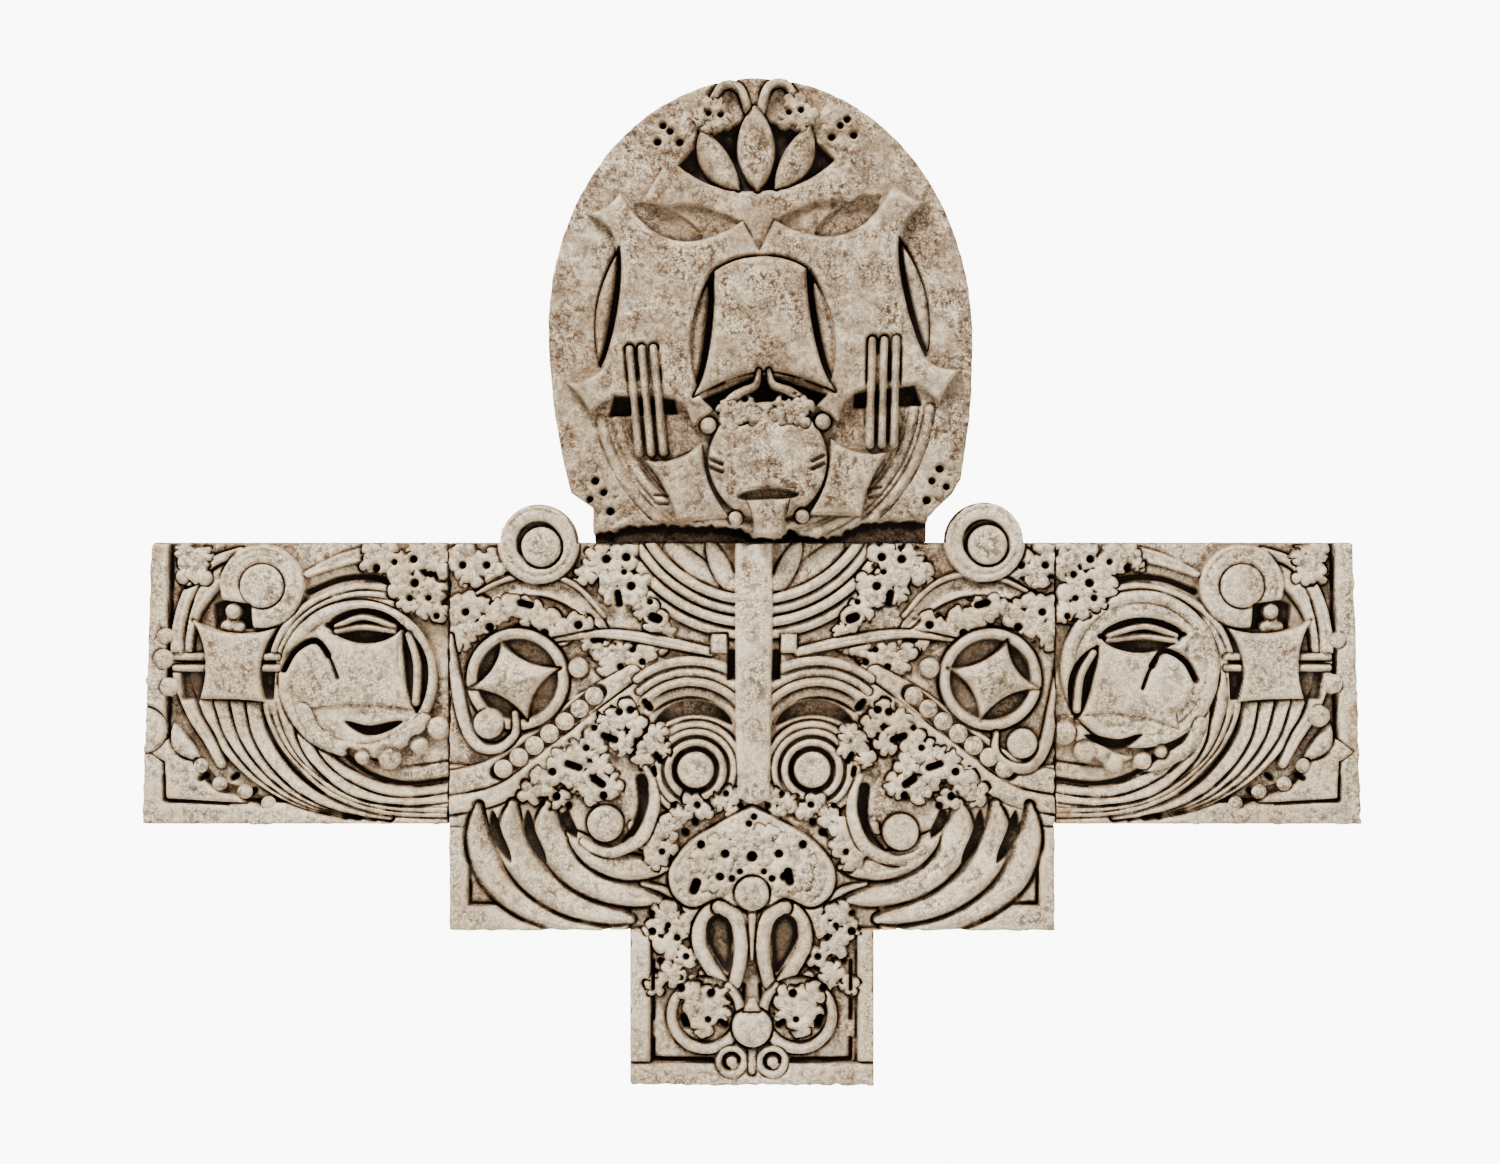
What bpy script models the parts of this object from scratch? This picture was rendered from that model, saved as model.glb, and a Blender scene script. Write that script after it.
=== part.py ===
"""Carved terracotta wall cartouche: an oval head over a centre block with a pendant, and a wing at each side.

Metres, +Z up. The back of every block lies in the plane Y = 0 and the carving faces -Y. The origin is on the
back of the centre block, at the middle of its width and height. Each block's carving is set out in minutes,
equal shares of that block's own width and height, so it grows and shrinks with the block.
"""

import math

import bmesh
import bpy
from mathutils import Vector

# Face sizes of the blocks
CENTRE_WIDTH = 0.802
CENTRE_HEIGHT = 0.514
PENDANT_WIDTH = 0.323
PENDANT_DROP = 0.204
WING_WIDTH = 0.405
WING_HEIGHT = 0.373
WING_FLARE = 0.012  # how far the outer edge leans out from top to bottom
HEAD_WIDTH = 0.560
HEAD_RISE = 0.337  # from the widest line up to the crown
HEAD_FALL = 0.275  # from the widest line down to the top of the centre block
HEAD_OFFSET = 0.011  # the head sits a little right of the centre line
HEAD_LEAN = math.radians(2.0)

# Depths, measured from the wall
BLOCK_DEPTH = 0.104  # wall to the plain borders of the centre block and wings
HEAD_DEPTH = 0.112  # wall to the plain rim of the head
HEAD_FOOT_DEPTH = 0.058  # the foot left standing behind the head's broken lower edge
EAR_BACK = 0.046  # back of the two scrolls that stand up beside the head
FIELD_SINK = 0.030  # borders down to the carved ground

# Joints, and the hollow back of the blocks
JOINT = 0.0003
OUTER_WALL = 0.030
WEB = 0.026
CELL_DEPTH = 0.042
CELL_PITCH = 0.130

# Borders around the carved ground
WING_BORDER = 0.030
WING_TOP_BORDER = 0.005
CENTRE_BORDER = 0.027
SILL = 0.033  # border along the bottom of the wings, the centre block and the pendant

# Heights of the carving above its ground
LOW = 0.012
MIDDLE = 0.021
FLUSH = 0.0295
HIGH = 0.036
BOSS = 0.043
ROOT = 0.006  # how deep each shape is rooted below the ground
INLAY_ROOT = 0.024  # how much deeper a shape is rooted that stands in a recess
ROOT_STEP = 0.00004  # each shape is rooted a little deeper than the last, so no two undersides share a plane
RISE_STEP = 0.00002  # and stands a little higher, so no two tops share one
MERGE_ANGLE = math.radians(2.5)  # flat faces are joined again below this angle
SHOULDER = 0.62  # width of a band's flat top as a share of its foot

# Each block's face in minutes
CENTRE_MINUTES = (608, 389)
WING_MINUTES = (307, 283)
HEAD_MINUTES = (424, 255)

TERRACOTTA = (0.52, 0.46, 0.38, 1.0)
TERRACOTTA_ROUGHNESS = 0.85


def arc(x, z, radius, start, end, steps):
    """Points along a circle about (x, z), from start to end degrees."""
    turns = [math.radians(start + (end - start) * i / steps) for i in range(steps + 1)]
    return [(x + radius * math.cos(t), z + radius * math.sin(t)) for t in turns]


def sagging_side(start, end, dent, steps):
    """Points from start up to, and not including, end, along an arc that dents to the left of the way by dent."""
    (x0, z0), (x1, z1) = start, end
    length = math.hypot(x1 - x0, z1 - z0)
    left = (-(z1 - z0) / length, (x1 - x0) / length)
    points = []
    for i in range(steps):
        share = i / steps
        off = dent * 4 * share * (1 - share)
        points.append((x0 + (x1 - x0) * share + left[0] * off, z0 + (z1 - z0) * share + left[1] * off))
    return points


def chain(corners, steps=3):
    """A closed outline through corners (x, z, dent), each dent being that of the side that follows."""
    outline = []
    for (x, z, dent), following in zip(corners, corners[1:] + corners[:1]):
        outline += sagging_side((x, z), following[:2], dent, steps if dent else 1)
    return outline


def mirrored_chain(half, steps=3):
    """A closed outline whose right half, from the top of the axis round to its foot, is given as corners."""
    right = []
    for (x, z, dent), following in zip(half, half[1:]):
        right += sagging_side((x, z), following[:2], dent, steps if dent else 1)
    right.append(half[-1][:2])
    return right + [(-x, z) for x, z in right[::-1] if x > 0.01]


def smooth_path(knots, steps=2):
    """Points along a smooth curve through the knots."""
    ends = [knots[0], *knots, knots[-1]]
    points = []
    for before, start, end, after in zip(ends, ends[1:], ends[2:], ends[3:]):
        for i in range(steps):
            t = i / steps
            points.append(
                tuple(
                    0.5
                    * (
                        2 * b
                        + (c - a) * t
                        + (2 * a - 5 * b + 4 * c - d) * t**2
                        + (3 * b - a - 3 * c + d) * t**3
                    )
                    for a, b, c, d in zip(before, start, end, after)
                )
            )
    return [*points, knots[-1]]


def between(first, second, share):
    """The path that lies a share of the way from the first path to the second, knot by knot."""
    return [(x0 + (x1 - x0) * share, z0 + (z1 - z0) * share) for (x0, z0), (x1, z1) in zip(first, second)]


def sides_for(radius):
    """How many sides a circle of this radius in minutes has."""
    return max(6, round(4.4 + radius / 6))


def lobed_outline(x, z, radius, lobes, turn, waist=0.6):
    """A leaf seen from above: pointed lobes of the radius, cut in to its waist between them."""
    outline = []
    for i in range(lobes * 2):
        reach = (1.0, waist)[i % 2] * radius
        angle = math.radians(turn + 180 * i / lobes)
        outline.append((x + reach * math.cos(angle), z + reach * math.sin(angle)))
    return outline


def spindle(spine, half_width, blunt=0.75):
    """Outline of a pod along its spine: pointed at both ends, or rounder as blunt falls."""
    sides = ([], [])
    for i, (x, z) in enumerate(spine):
        before = spine[max(i - 1, 0)]
        after = spine[min(i + 1, len(spine) - 1)]
        run = math.hypot(after[0] - before[0], after[1] - before[1])
        across = (-(after[1] - before[1]) / run, (after[0] - before[0]) / run)
        reach = half_width * max(math.sin(math.pi * i / (len(spine) - 1)), 0.0) ** blunt
        for side, sign in zip(sides, (1, -1)):
            side.append((x + sign * across[0] * reach, z + sign * across[1] * reach))
    return sides[0] + sides[1][-2:0:-1]


class Face:
    """One block's face. It places shapes given in minutes and gathers them as closed shells."""

    def __init__(self, origin, size, minutes, ground, side=1, lean=0.0):
        self.origin = origin
        self.minute = (size[0] / minutes[0], size[1] / minutes[1])
        self.ground = ground
        self.side = side
        self.lean = lean
        self.raised = bmesh.new()
        self.sunk = bmesh.new()
        self.inlaid = bmesh.new()  # raised shapes that stand in the recesses
        self.roots = 0

    def place(self, x, z, depth):
        """A point of the face, in metres."""
        across = x * self.minute[0] * self.side
        up = z * self.minute[1]
        turned = (
            across * math.cos(self.lean) - up * math.sin(self.lean),
            across * math.sin(self.lean) + up * math.cos(self.lean),
        )
        return Vector((self.origin[0] + turned[0], -depth, self.origin[1] + turned[1]))

    def next_root(self):
        """The depth at which the next shape is rooted."""
        self.roots += 1
        return self.ground - ROOT - self.roots * ROOT_STEP

    def shell(self, mesh, rings, closed=False):
        """Joins equal rings of (x, z, depth) into one closed shell: a tube with flat ends, or a loop."""
        loops = [[mesh.verts.new(self.place(*point)) for point in ring] for ring in rings]
        pairs = list(zip(loops, loops[1:]))
        if closed:
            pairs.append((loops[-1], loops[0]))
        faces = []
        for first, second in pairs:
            for i, j in zip(range(len(first)), [*range(1, len(first)), 0]):
                faces.append(mesh.faces.new((first[i], first[j], second[j], second[i])))
        if not closed:
            faces.append(mesh.faces.new(loops[0][::-1]))
            faces.append(mesh.faces.new(loops[-1]))
        bmesh.ops.recalc_face_normals(mesh, faces=faces)

    def top(self, height):
        """The depth of a shape's top, for its height above the ground."""
        return self.ground + height + self.roots * RISE_STEP

    def plate(self, outline, height, root=None):
        """A flat-topped shape that stands on the ground."""
        depths = (self.next_root() if root is None else root, self.top(height))
        self.shell(self.raised, [[(x, z, depth) for x, z in outline] for depth in depths])

    def cut(self, outline, depth):
        """A flat-bottomed recess, down to this depth from the wall."""
        front = self.ground + BOSS * 2
        self.shell(self.sunk, [[(x, z, at) for x, z in outline] for at in (depth, front)])

    def dome(self, x, z, radius, height, flat=0.72):
        """A round boss that narrows to its flat top."""
        rings = ((1.0, self.next_root()), (flat, self.top(height)))
        sides = sides_for(radius)
        self.shell(
            self.raised,
            [[(px, pz, depth) for px, pz in arc(x, z, radius * share, 0, 360, sides)[:-1]] for share, depth in rings],
        )

    def band(self, path, width, height, closed=False, end_width=None, ridged=True):
        """A raised band along a path, ridged like a roof or flat on top. It may narrow from width to end_width."""
        end_width = width if end_width is None else end_width
        root = self.next_root()
        top = self.top(height)
        rings = []
        for i, (x, z) in enumerate(path):
            before = path[i - 1] if closed else path[max(i - 1, 0)]
            after = path[(i + 1) % len(path)] if closed else path[min(i + 1, len(path) - 1)]
            run = math.hypot(after[0] - before[0], after[1] - before[1])
            across = (-(after[1] - before[1]) / run, (after[0] - before[0]) / run)
            half = (width + (end_width - width) * i / (len(path) - 1)) / 2
            crest = [(0.0, top)] if ridged else [(half * SHOULDER, top), (-half * SHOULDER, top)]
            section = [(half, root), *crest, (-half, root)]
            rings.append([(x + across[0] * off, z + across[1] * off, depth) for off, depth in section])
        self.shell(self.raised, rings, closed)

    def ring(self, x, z, outer, inner, height):
        """A raised ring."""
        self.band(arc(x, z, (outer + inner) / 2, 0, 360, sides_for(outer))[:-1], outer - inner, height, closed=True, ridged=False)

    def boss_in_ring(self, x, z, boss, outer, inner, height):
        """A round boss inside a raised ring, as at each scroll's eye."""
        self.dome(x, z, boss, height)
        self.ring(x, z, outer, inner, height)

    def pod(self, spine, half_width, height, blunt=0.75, inlaid=False):
        """A swelling pod along its spine, with a narrower flat crest."""
        foot = spindle(spine, half_width, blunt)
        crest = spindle(spine, half_width * 0.5, blunt)
        root = self.next_root() - (INLAY_ROOT if inlaid else 0.0)
        rings = [[(x, z, depth) for x, z in outline] for outline, depth in ((foot, root), (crest, self.top(height)))]
        self.shell(self.inlaid if inlaid else self.raised, rings)

    def peak(self, outline, x, z, foot, height):
        """A pointed pyramid on an outline, rising from foot to its apex at (x, z)."""
        rings = [[(px, pz, depth) for px, pz in outline] for depth in (self.next_root(), self.top(foot))]
        near = [(x + (px - x) * 0.08, z + (pz - z) * 0.08, self.top(height)) for px, pz in outline]
        self.shell(self.raised, [*rings, near])


def shell_object(name, mesh):
    """A helper object for a Boolean, left out of the render."""
    data = bpy.data.meshes.new(name)
    mesh.to_mesh(data)
    mesh.free()
    helper = bpy.data.objects.new(name, data)
    helper.hide_render = True
    helper.display_type = "WIRE"
    bpy.context.scene.collection.objects.link(helper)
    return helper


def prism(mesh, outline, low, high):
    """A straight block on an outline in metres, between two depths from the wall."""
    loops = [[mesh.verts.new((x, -depth, z)) for x, z in outline] for depth in (low, high)]
    for i, j in zip(range(len(outline)), [*range(1, len(outline)), 0]):
        mesh.faces.new((loops[0][i], loops[0][j], loops[1][j], loops[1][i]))
    mesh.faces.new(loops[0][::-1])
    mesh.faces.new(loops[1])
    bmesh.ops.recalc_face_normals(mesh, faces=mesh.faces)


def rectangle(low_x, low_z, high_x, high_z):
    """Corners of an upright rectangle."""
    return [(low_x, low_z), (high_x, low_z), (high_x, high_z), (low_x, high_z)]


def spread(low, high, count_even=False):
    """Low and high edge of each cell across a hollow back, with webs between them."""
    clear = high - low - 2 * OUTER_WALL + WEB
    count = max(1, round(clear / CELL_PITCH))
    if count_even:
        count = 2 * max(1, round(clear / CELL_PITCH / 2))
    pitch = clear / count
    return [(low + OUTER_WALL + pitch * i, low + OUTER_WALL + pitch * (i + 1) - WEB) for i in range(count)]


def cut_cells(mesh, columns, rows, kept=lambda x, z: True):
    """Pockets in the hollow back, one for each column and row whose corners are all kept."""
    for low_x, high_x in columns:
        for low_z, high_z in rows:
            corners = rectangle(low_x, low_z, high_x, high_z)
            if all(kept(x, z) for x, z in corners):
                cell = bmesh.new()
                prism(cell, corners, -CELL_DEPTH, CELL_DEPTH)
                data = bpy.data.meshes.new("cell")
                cell.to_mesh(data)
                cell.free()
                mesh.from_mesh(data)
                bpy.data.meshes.remove(data)


def block(name, body, hollows, face, material):
    """Makes a block: its body less the hollows, with the face's raised shapes joined on and its recesses cut."""
    data = bpy.data.meshes.new(name)
    body.to_mesh(data)
    body.free()
    made = bpy.data.objects.new(name, data)
    bpy.context.scene.collection.objects.link(made)
    data.materials.append(material)
    steps = (
        ("hollows", hollows, "DIFFERENCE", False),
        ("carving", face.raised, "UNION", True),
        ("recesses", face.sunk, "DIFFERENCE", True),
        ("inlays", face.inlaid, "UNION", True),
    )
    for label, mesh, operation, overlapping in steps:
        if not mesh.verts:
            mesh.free()
            continue
        modifier = made.modifiers.new(label, "BOOLEAN")
        modifier.operation = operation
        modifier.solver = "EXACT"
        modifier.use_self = overlapping
        modifier.object = shell_object(f"{name}_{label}", mesh)
    merge = made.modifiers.new("merge", "DECIMATE")
    merge.decimate_type = "DISSOLVE"
    merge.angle_limit = MERGE_ANGLE
    return made


def terracotta():
    """Buff terracotta, weathered and matt."""
    material = bpy.data.materials.new("terracotta")
    material.use_nodes = True
    shader = material.node_tree.nodes["Principled BSDF"]
    shader.inputs["Base Color"].default_value = TERRACOTTA
    shader.inputs["Roughness"].default_value = TERRACOTTA_ROUGHNESS
    shader.inputs["Metallic"].default_value = 0.0
    return material


def carve_wing(face):
    """A wing's carving, in minutes outward from its joint edge and down from its top."""
    circle = (88, -132)
    face.ring(*circle, 79, 63, MIDDLE)
    face.plate(chain([(138, -86, 13), (40, -84, 15), (22, -174, 12), (136, -176, 12)]), FLUSH)
    face.dome(151, -137, 23, HIGH, flat=0.6)
    for x, z, radius in ((14, -193, 11), (34, -210, 11), (62, -218, 10), (90, -215, 9)):
        face.dome(x, z, radius, MIDDLE)
    over = [(46, -46), (92, -40), (150, -64), (184, -140), (160, -208), (106, -250), (5, -262)]
    face.band(smooth_path(over, 2), 15, HIGH)
    fan_inner = [(198, -158), (176, -216), (108, -265), (30, -274)]
    fan_outer = [(244, -162), (226, -222), (160, -268), (80, -277)]
    fans = 3
    for i in range(fans):
        face.band(smooth_path(between(fan_inner, fan_outer, i / (fans - 1)), 2), 15, HIGH, end_width=7)
    face.boss_in_ring(182, -44, 22, 42, 26, HIGH)
    rim = [(186, -8), (242, -30), (273, -92), (258, -164), (228, -218), (180, -258)]
    face.band(smooth_path(rim, 2), 11, MIDDLE)
    face.plate(chain([(247, -77, 9), (178, -81, 7), (184, -156, 2), (250, -160, 8)]), FLUSH)
    for z in (-118, -129):
        face.band([(160, z), (190, z)], 8, MIDDLE)
        face.band([(244, z), (275, z)], 8, MIDDLE)
    face.dome(211, -66, 7, MIDDLE)
    for x, z in ((282, -114), (278, -143), (268, -172)):
        face.dome(x, z, 9, HIGH)
    face.plate(chain([(296, -212, 4), (277, -188, 6), (250, -217, 4), (286, -236, 0)]), FLUSH)
    beads = 4
    for i in range(beads):
        face.dome(244 - 19 * i, -226 - 9 * i, 7, MIDDLE)
    for x, z, radius, turn in ((33, -32, 26, 10), (66, -26, 20, 40), (20, -62, 18, 70)):
        face.plate(lobed_outline(x, z, radius, 5, turn), HIGH)
    face.band(smooth_path([(96, -30), (126, -26), (150, -38)], 2), 14, MIDDLE)


def carve_centre(face):
    """The carving of the centre block and its pendant, about the axis and down from the top edge."""
    face.plate([(-18, -4), (18, -4), (19, -250), (-19, -250)][::-1], FLUSH + 0.002)
    bowl_centre = 67
    for middle, height in ((132, FLUSH), (143, MIDDLE + 0.005), (154, MIDDLE)):
        reach = math.degrees(math.asin((bowl_centre + 5) / middle))
        face.band(arc(0, bowl_centre, middle, -reach, -180 + reach, 10), 12, height)
    palmette = [(0, -258), (34, -266), (66, -290), (80, -322), (62, -352), (30, -340)]
    face.plate(mirrored_chain([(x, z, 5 if 0 < i < 4 else 0) for i, (x, z) in enumerate(palmette)], 2), FLUSH)
    face.dome(0, -350, 17, BOSS)
    face.band([(0, -366), (0, -452)], 9, HIGH, end_width=5)
    face.dome(0, -485, 20, BOSS)
    face.band([(0, -500), (0, -540)], 9, FLUSH + 0.003)
    for side in (-1, 1):
        carve_centre_side(face, side)
        carve_pendant_side(face, side)


def carve_centre_side(face, side):
    """One side of the centre block."""

    def turned(points):
        return [(x * side, z) for x, z in points]

    def leaf(x, z, radius, turn, height=FLUSH):
        face.plate(lobed_outline(x * side, z, radius, 5, turn if side > 0 else 180 - turn), height)

    face.pod(turned([(74, -6), (56, -30), (32, -47)]), 13, LOW + 0.004, blunt=0.5)
    face.plate(turned(rectangle(27, -113, 43, -91)), MIDDLE)
    ear_x = 223
    face.plate(arc(ear_x * side, -1, 39, 0, 360, sides_for(39))[:-1], MIDDLE, root=EAR_BACK)
    face.ring(ear_x * side, -1, 39, 25, HIGH)
    face.dome(ear_x * side, -2, 18, HIGH)
    ring_x, ring_z = 237, -137
    face.ring(ring_x * side, ring_z, 51, 40, HIGH)
    star = chain([(254, -97, 9), (194, -126, 9), (226, -178, 9), (287, -146, 9)], 2)
    face.peak(turned(star), ring_x * side, ring_z, MIDDLE, BOSS)
    face.dome(176 * side, -125, 10, HIGH)
    face.boss_in_ring(267 * side, -190, 15, 25, 18, HIGH)
    hood = [(22, -240), (24, -170), (70, -132), (114, -150), (252, -248)]
    face.band(turned(smooth_path(hood, 3)), 14, HIGH)
    coins = 6
    for i in range(coins):
        face.dome((165 + 17 * i) * side, -157 - 13.7 * i, 10, FLUSH + 0.001)
    face.boss_in_ring(59 * side, -227, 19, 44, 29, HIGH)
    face.boss_in_ring(148 * side, -285, 15, 26, 18, HIGH)
    pods = (
        ([(272, -270), (281, -326), (238, -372), (178, -384)], 13, FLUSH + 0.001),
        ([(242, -264), (246, -318), (204, -356), (144, -368)], 14, HIGH),
        ([(206, -268), (206, -316), (160, -347), (100, -352)], 15, HIGH + 0.002),
        ([(190, -304), (146, -324), (92, -318)], 13, FLUSH),
    )
    for spine, half_width, height in pods:
        face.pod(turned(smooth_path(spine, 2)), half_width, height, blunt=0.4)
    face.plate(turned(chain([(300, -222, 0), (252, -230, -3), (236, -262, 4), (284, -276, 0), (300, -276, 0)])), FLUSH)
    bough = [(296, -46), (232, -38), (160, -82), (104, -112)]
    face.band(turned(smooth_path(bough, 2)), 14, HIGH)
    leaves = (
        (260, -29, 26, 20, FLUSH),
        (273, -84, 22, 50, HIGH),
        (216, -74, 20, 15, HIGH - 0.002),
        (150, -30, 25, 35, HIGH),
        (126, -70, 20, 10, FLUSH + 0.003),
        (124, -196, 24, 30, HIGH),
        (164, -236, 22, 20, FLUSH + 0.003),
        (90, -290, 21, 5, FLUSH - 0.001),
    )
    for x, z, radius, turn, height in leaves:
        leaf(x, z, radius, turn, height)


def carve_pendant_side(face, side):
    """One side of the pendant."""

    def turned(points):
        return [(x * side, z) for x, z in points]

    loop = [
        (28 * side + 17 * math.cos(t) * side, -398 + 31 * math.sin(t))
        for t in [math.radians(360 * i / 10) for i in range(10)]
    ]
    face.band(loop, 13, BOSS - 0.002, closed=True)
    scroll = [(20, -440), (20, -492), (54, -512), (86, -486), (76, -446)]
    face.band(turned(smooth_path(scroll, 2)), 11, FLUSH + 0.003)
    face.plate(lobed_outline(52 * side, -470, 25, 5, 90), HIGH)
    face.plate(lobed_outline(80 * side, -384, 22, 5, 90 - 30 * side), FLUSH)
    face.plate(lobed_outline(82 * side, -424, 19, 5, 90 + 20 * side), MIDDLE + 0.006)
    face.ring(21 * side, -518, 16, 6, FLUSH + 0.001)


def carve_head(face):
    """The head's carving, about its own axis and its widest line. Its ground is the plain rim."""
    low, raised, bold = 0.009, 0.014, 0.020
    saddle = [(0, 143, 12), (80, 163, -2), (92, 172, 0), (127, 117, -17), (17, 111, 0), (0, 84, 0)]
    face.plate(mirrored_chain(saddle), low)
    bat = [
        (0, 83, 0),
        (16, 113, -18),
        (137, 146, -5),
        (171, 126, -7),
        (143, 92, -6),
        (160, -28, -5),
        (197, -42, -3),
        (174, -75, -7),
        (137, -60, 0),
        (101, -58, -7),
        (73, -90, 0),
        (52, -74, 0),
        (60, -50, 0),
        (0, -40, 0),
    ]
    face.plate(mirrored_chain(bat), raised)
    bell = [(0, 77, 4), (46, 64, -2), (52, 4, -4), (71, -60, -4), (0, -36, 0)]
    face.plate(mirrored_chain(bell), bold + 0.004)
    face.dome(0, -126, 59, bold - 0.001, flat=0.9)
    tongue = [(0, -152, 0), (27, -155, -4), (15, -200, 0), (0, -203, 0)]
    face.plate(mirrored_chain(tongue), bold + 0.006)
    for side in (-1, 1):
        carve_head_side(face, side, bold)
    crescent = [(0, 214, 8), (78, 172, 9), (0, 144, 0)]
    deep, shallow = face.ground - 0.022, face.ground - 0.008
    face.cut(mirrored_chain(crescent), deep)
    face.cut(mirrored_chain([(0, -40, 0), (62, -62, 0), (44, -74, 0), (0, -68, 0)]), deep + 0.002)
    for side in (-1, 1):
        slot = spindle(smooth_path([(49, 60), (60, 6), (66, -50)], 3), 8)
        eye = spindle(smooth_path([(140, 92), (156, 34), (164, -26)], 3), 9)
        lens = spindle(smooth_path([(121, 133), (92, 110), (58, 99)], 3), 17, 0.6)
        for outline, depth in ((slot, deep + 0.004), (eye, deep + 0.007), (lens, shallow)):
            face.cut([(x * side, z) for x, z in outline], depth)
        ledge = chain([(90, -62, 0), (150, -56, 0), (156, -78, 0), (88, -78, 0)])
        face.cut([(x * side, z) for x, z in ledge], deep + 0.005)
    return smooth_path([(0, 142), (0, 170), (0, 200), (0, 226)], 2), smooth_path([(19, 146), (40, 164), (53, 203)], 2)


def carve_head_side(face, side, bold):
    """One side of the head."""

    def turned(points):
        return [(x * side, z) for x, z in points]

    hide = chain([(64, -106, 7), (40, -181, 0), (92, -184, 5), (122, -121, 8)])
    face.plate(turned(hide), bold - 0.002)
    for top, foot in ((109, 103), (121, 115), (133, 127)):
        face.band(turned([(top, -11), ((top + foot) / 2, -62), (foot, -114)]), 9, bold + 0.001)
    face.dome(121 * side, 16, 17, bold - 0.003, flat=0.6)
    face.dome(57 * side, -89, 8, bold)
    face.dome(27 * side, -71, 21, bold - 0.001, flat=0.7)
    bowl = arc(0, -56, 162, -12, -62, 5)
    face.band([(x * side, z) for x, z in bowl], 9, 0.005)
    crozier = [(6, 226), (24, 250), (38, 240)]
    face.band(turned(smooth_path(crozier, 2)), 9, bold - 0.003)
    face.plate(lobed_outline(40 * side, 226, 17, 5, 30 * side), bold - 0.004)
    for x, z, radius in ((158, -158, 19), (80, 205, 15)):
        face.plate(lobed_outline(x * side, z, radius, 5, 20 * side), 0.005)


def make_centre(material):
    """The centre block with its pendant and ears."""
    half, top, bottom = CENTRE_WIDTH / 2, CENTRE_HEIGHT / 2, -CENTRE_HEIGHT / 2
    foot = bottom - PENDANT_DROP
    side = PENDANT_WIDTH / 2
    outline = [(half, top), (half, bottom), (side, bottom), (side, foot)]
    body = bmesh.new()
    prism(body, outline + [(-x, z) for x, z in outline[::-1]], 0.0, BLOCK_DEPTH)
    hollows = bmesh.new()
    over = BLOCK_DEPTH + FIELD_SINK
    past = half + FIELD_SINK
    shoulder = bottom + (top - bottom) * 0.30
    inner = half - CENTRE_BORDER
    neck = side - CENTRE_BORDER
    field = [
        (past, top + FIELD_SINK),
        (past, shoulder),
        (inner, shoulder),
        (inner, bottom + SILL),
        (neck, bottom + SILL),
        (neck, foot + SILL),
    ]
    prism(hollows, field + [(-x, z) for x, z in field[::-1]], BLOCK_DEPTH - FIELD_SINK, over)
    columns = spread(-half, half, count_even=True)
    cut_cells(hollows, columns, spread(bottom, top, count_even=True))
    cut_cells(hollows, spread(-side, side, count_even=True), spread(foot, bottom + OUTER_WALL - WEB / 2))
    face = Face((0.0, top), (CENTRE_WIDTH, CENTRE_HEIGHT), CENTRE_MINUTES, BLOCK_DEPTH - FIELD_SINK)
    carve_centre(face)
    return block("centre_block", body, hollows, face, material)


def make_wing(name, side, material):
    """One wing, standing off the centre block by the joint."""
    inner = CENTRE_WIDTH / 2 + JOINT
    top, bottom = CENTRE_HEIGHT / 2, CENTRE_HEIGHT / 2 - WING_HEIGHT
    outer = inner + WING_WIDTH
    body = bmesh.new()
    outline = [(inner, bottom), (outer, bottom), (outer - WING_FLARE, top), (inner, top)]
    prism(body, [(x * side, z) for x, z in outline], 0.0, BLOCK_DEPTH)
    hollows = bmesh.new()
    field = [
        (inner - FIELD_SINK, bottom + SILL),
        (outer - WING_BORDER, bottom + SILL),
        (outer - WING_FLARE - WING_BORDER, top - WING_TOP_BORDER),
        (inner - FIELD_SINK, top - WING_TOP_BORDER),
    ]
    prism(hollows, [(x * side, z) for x, z in field], BLOCK_DEPTH - FIELD_SINK, BLOCK_DEPTH + FIELD_SINK)
    columns = [tuple(sorted((low * side, high * side))) for low, high in spread(inner, outer - WING_FLARE)]
    cut_cells(hollows, columns, spread(bottom, top))
    face = Face((inner * side, top), (WING_WIDTH, WING_HEIGHT), WING_MINUTES, BLOCK_DEPTH - FIELD_SINK, side)
    carve_wing(face)
    return block(name, body, hollows, face, material)


def head_outline(steps=30):
    """The oval down to its broken lower edge, about the head's own centre and in shares of its own size."""
    half = HEAD_WIDTH / 2
    long_fall = HEAD_FALL * 1.87  # the lower part is a longer half ellipse, broken off before it closes
    points = []
    for i in range(steps + 1):
        turn = math.radians(-23.0 + 226.0 * i / steps)
        reach = HEAD_RISE if math.sin(turn) > 0 else long_fall
        points.append((half * math.cos(turn), reach * math.sin(turn)))
    broken = ((-0.64, -0.955), (-0.53, -0.93), (-0.40, -0.91), (-0.20, -0.92), (0.12, -0.935), (0.30, -0.945))
    broken += ((0.40, -0.91), (0.56, -0.875), (0.78, -0.89), (0.88, -0.80))
    return points + [(half * x, HEAD_FALL * z) for x, z in broken]


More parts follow.
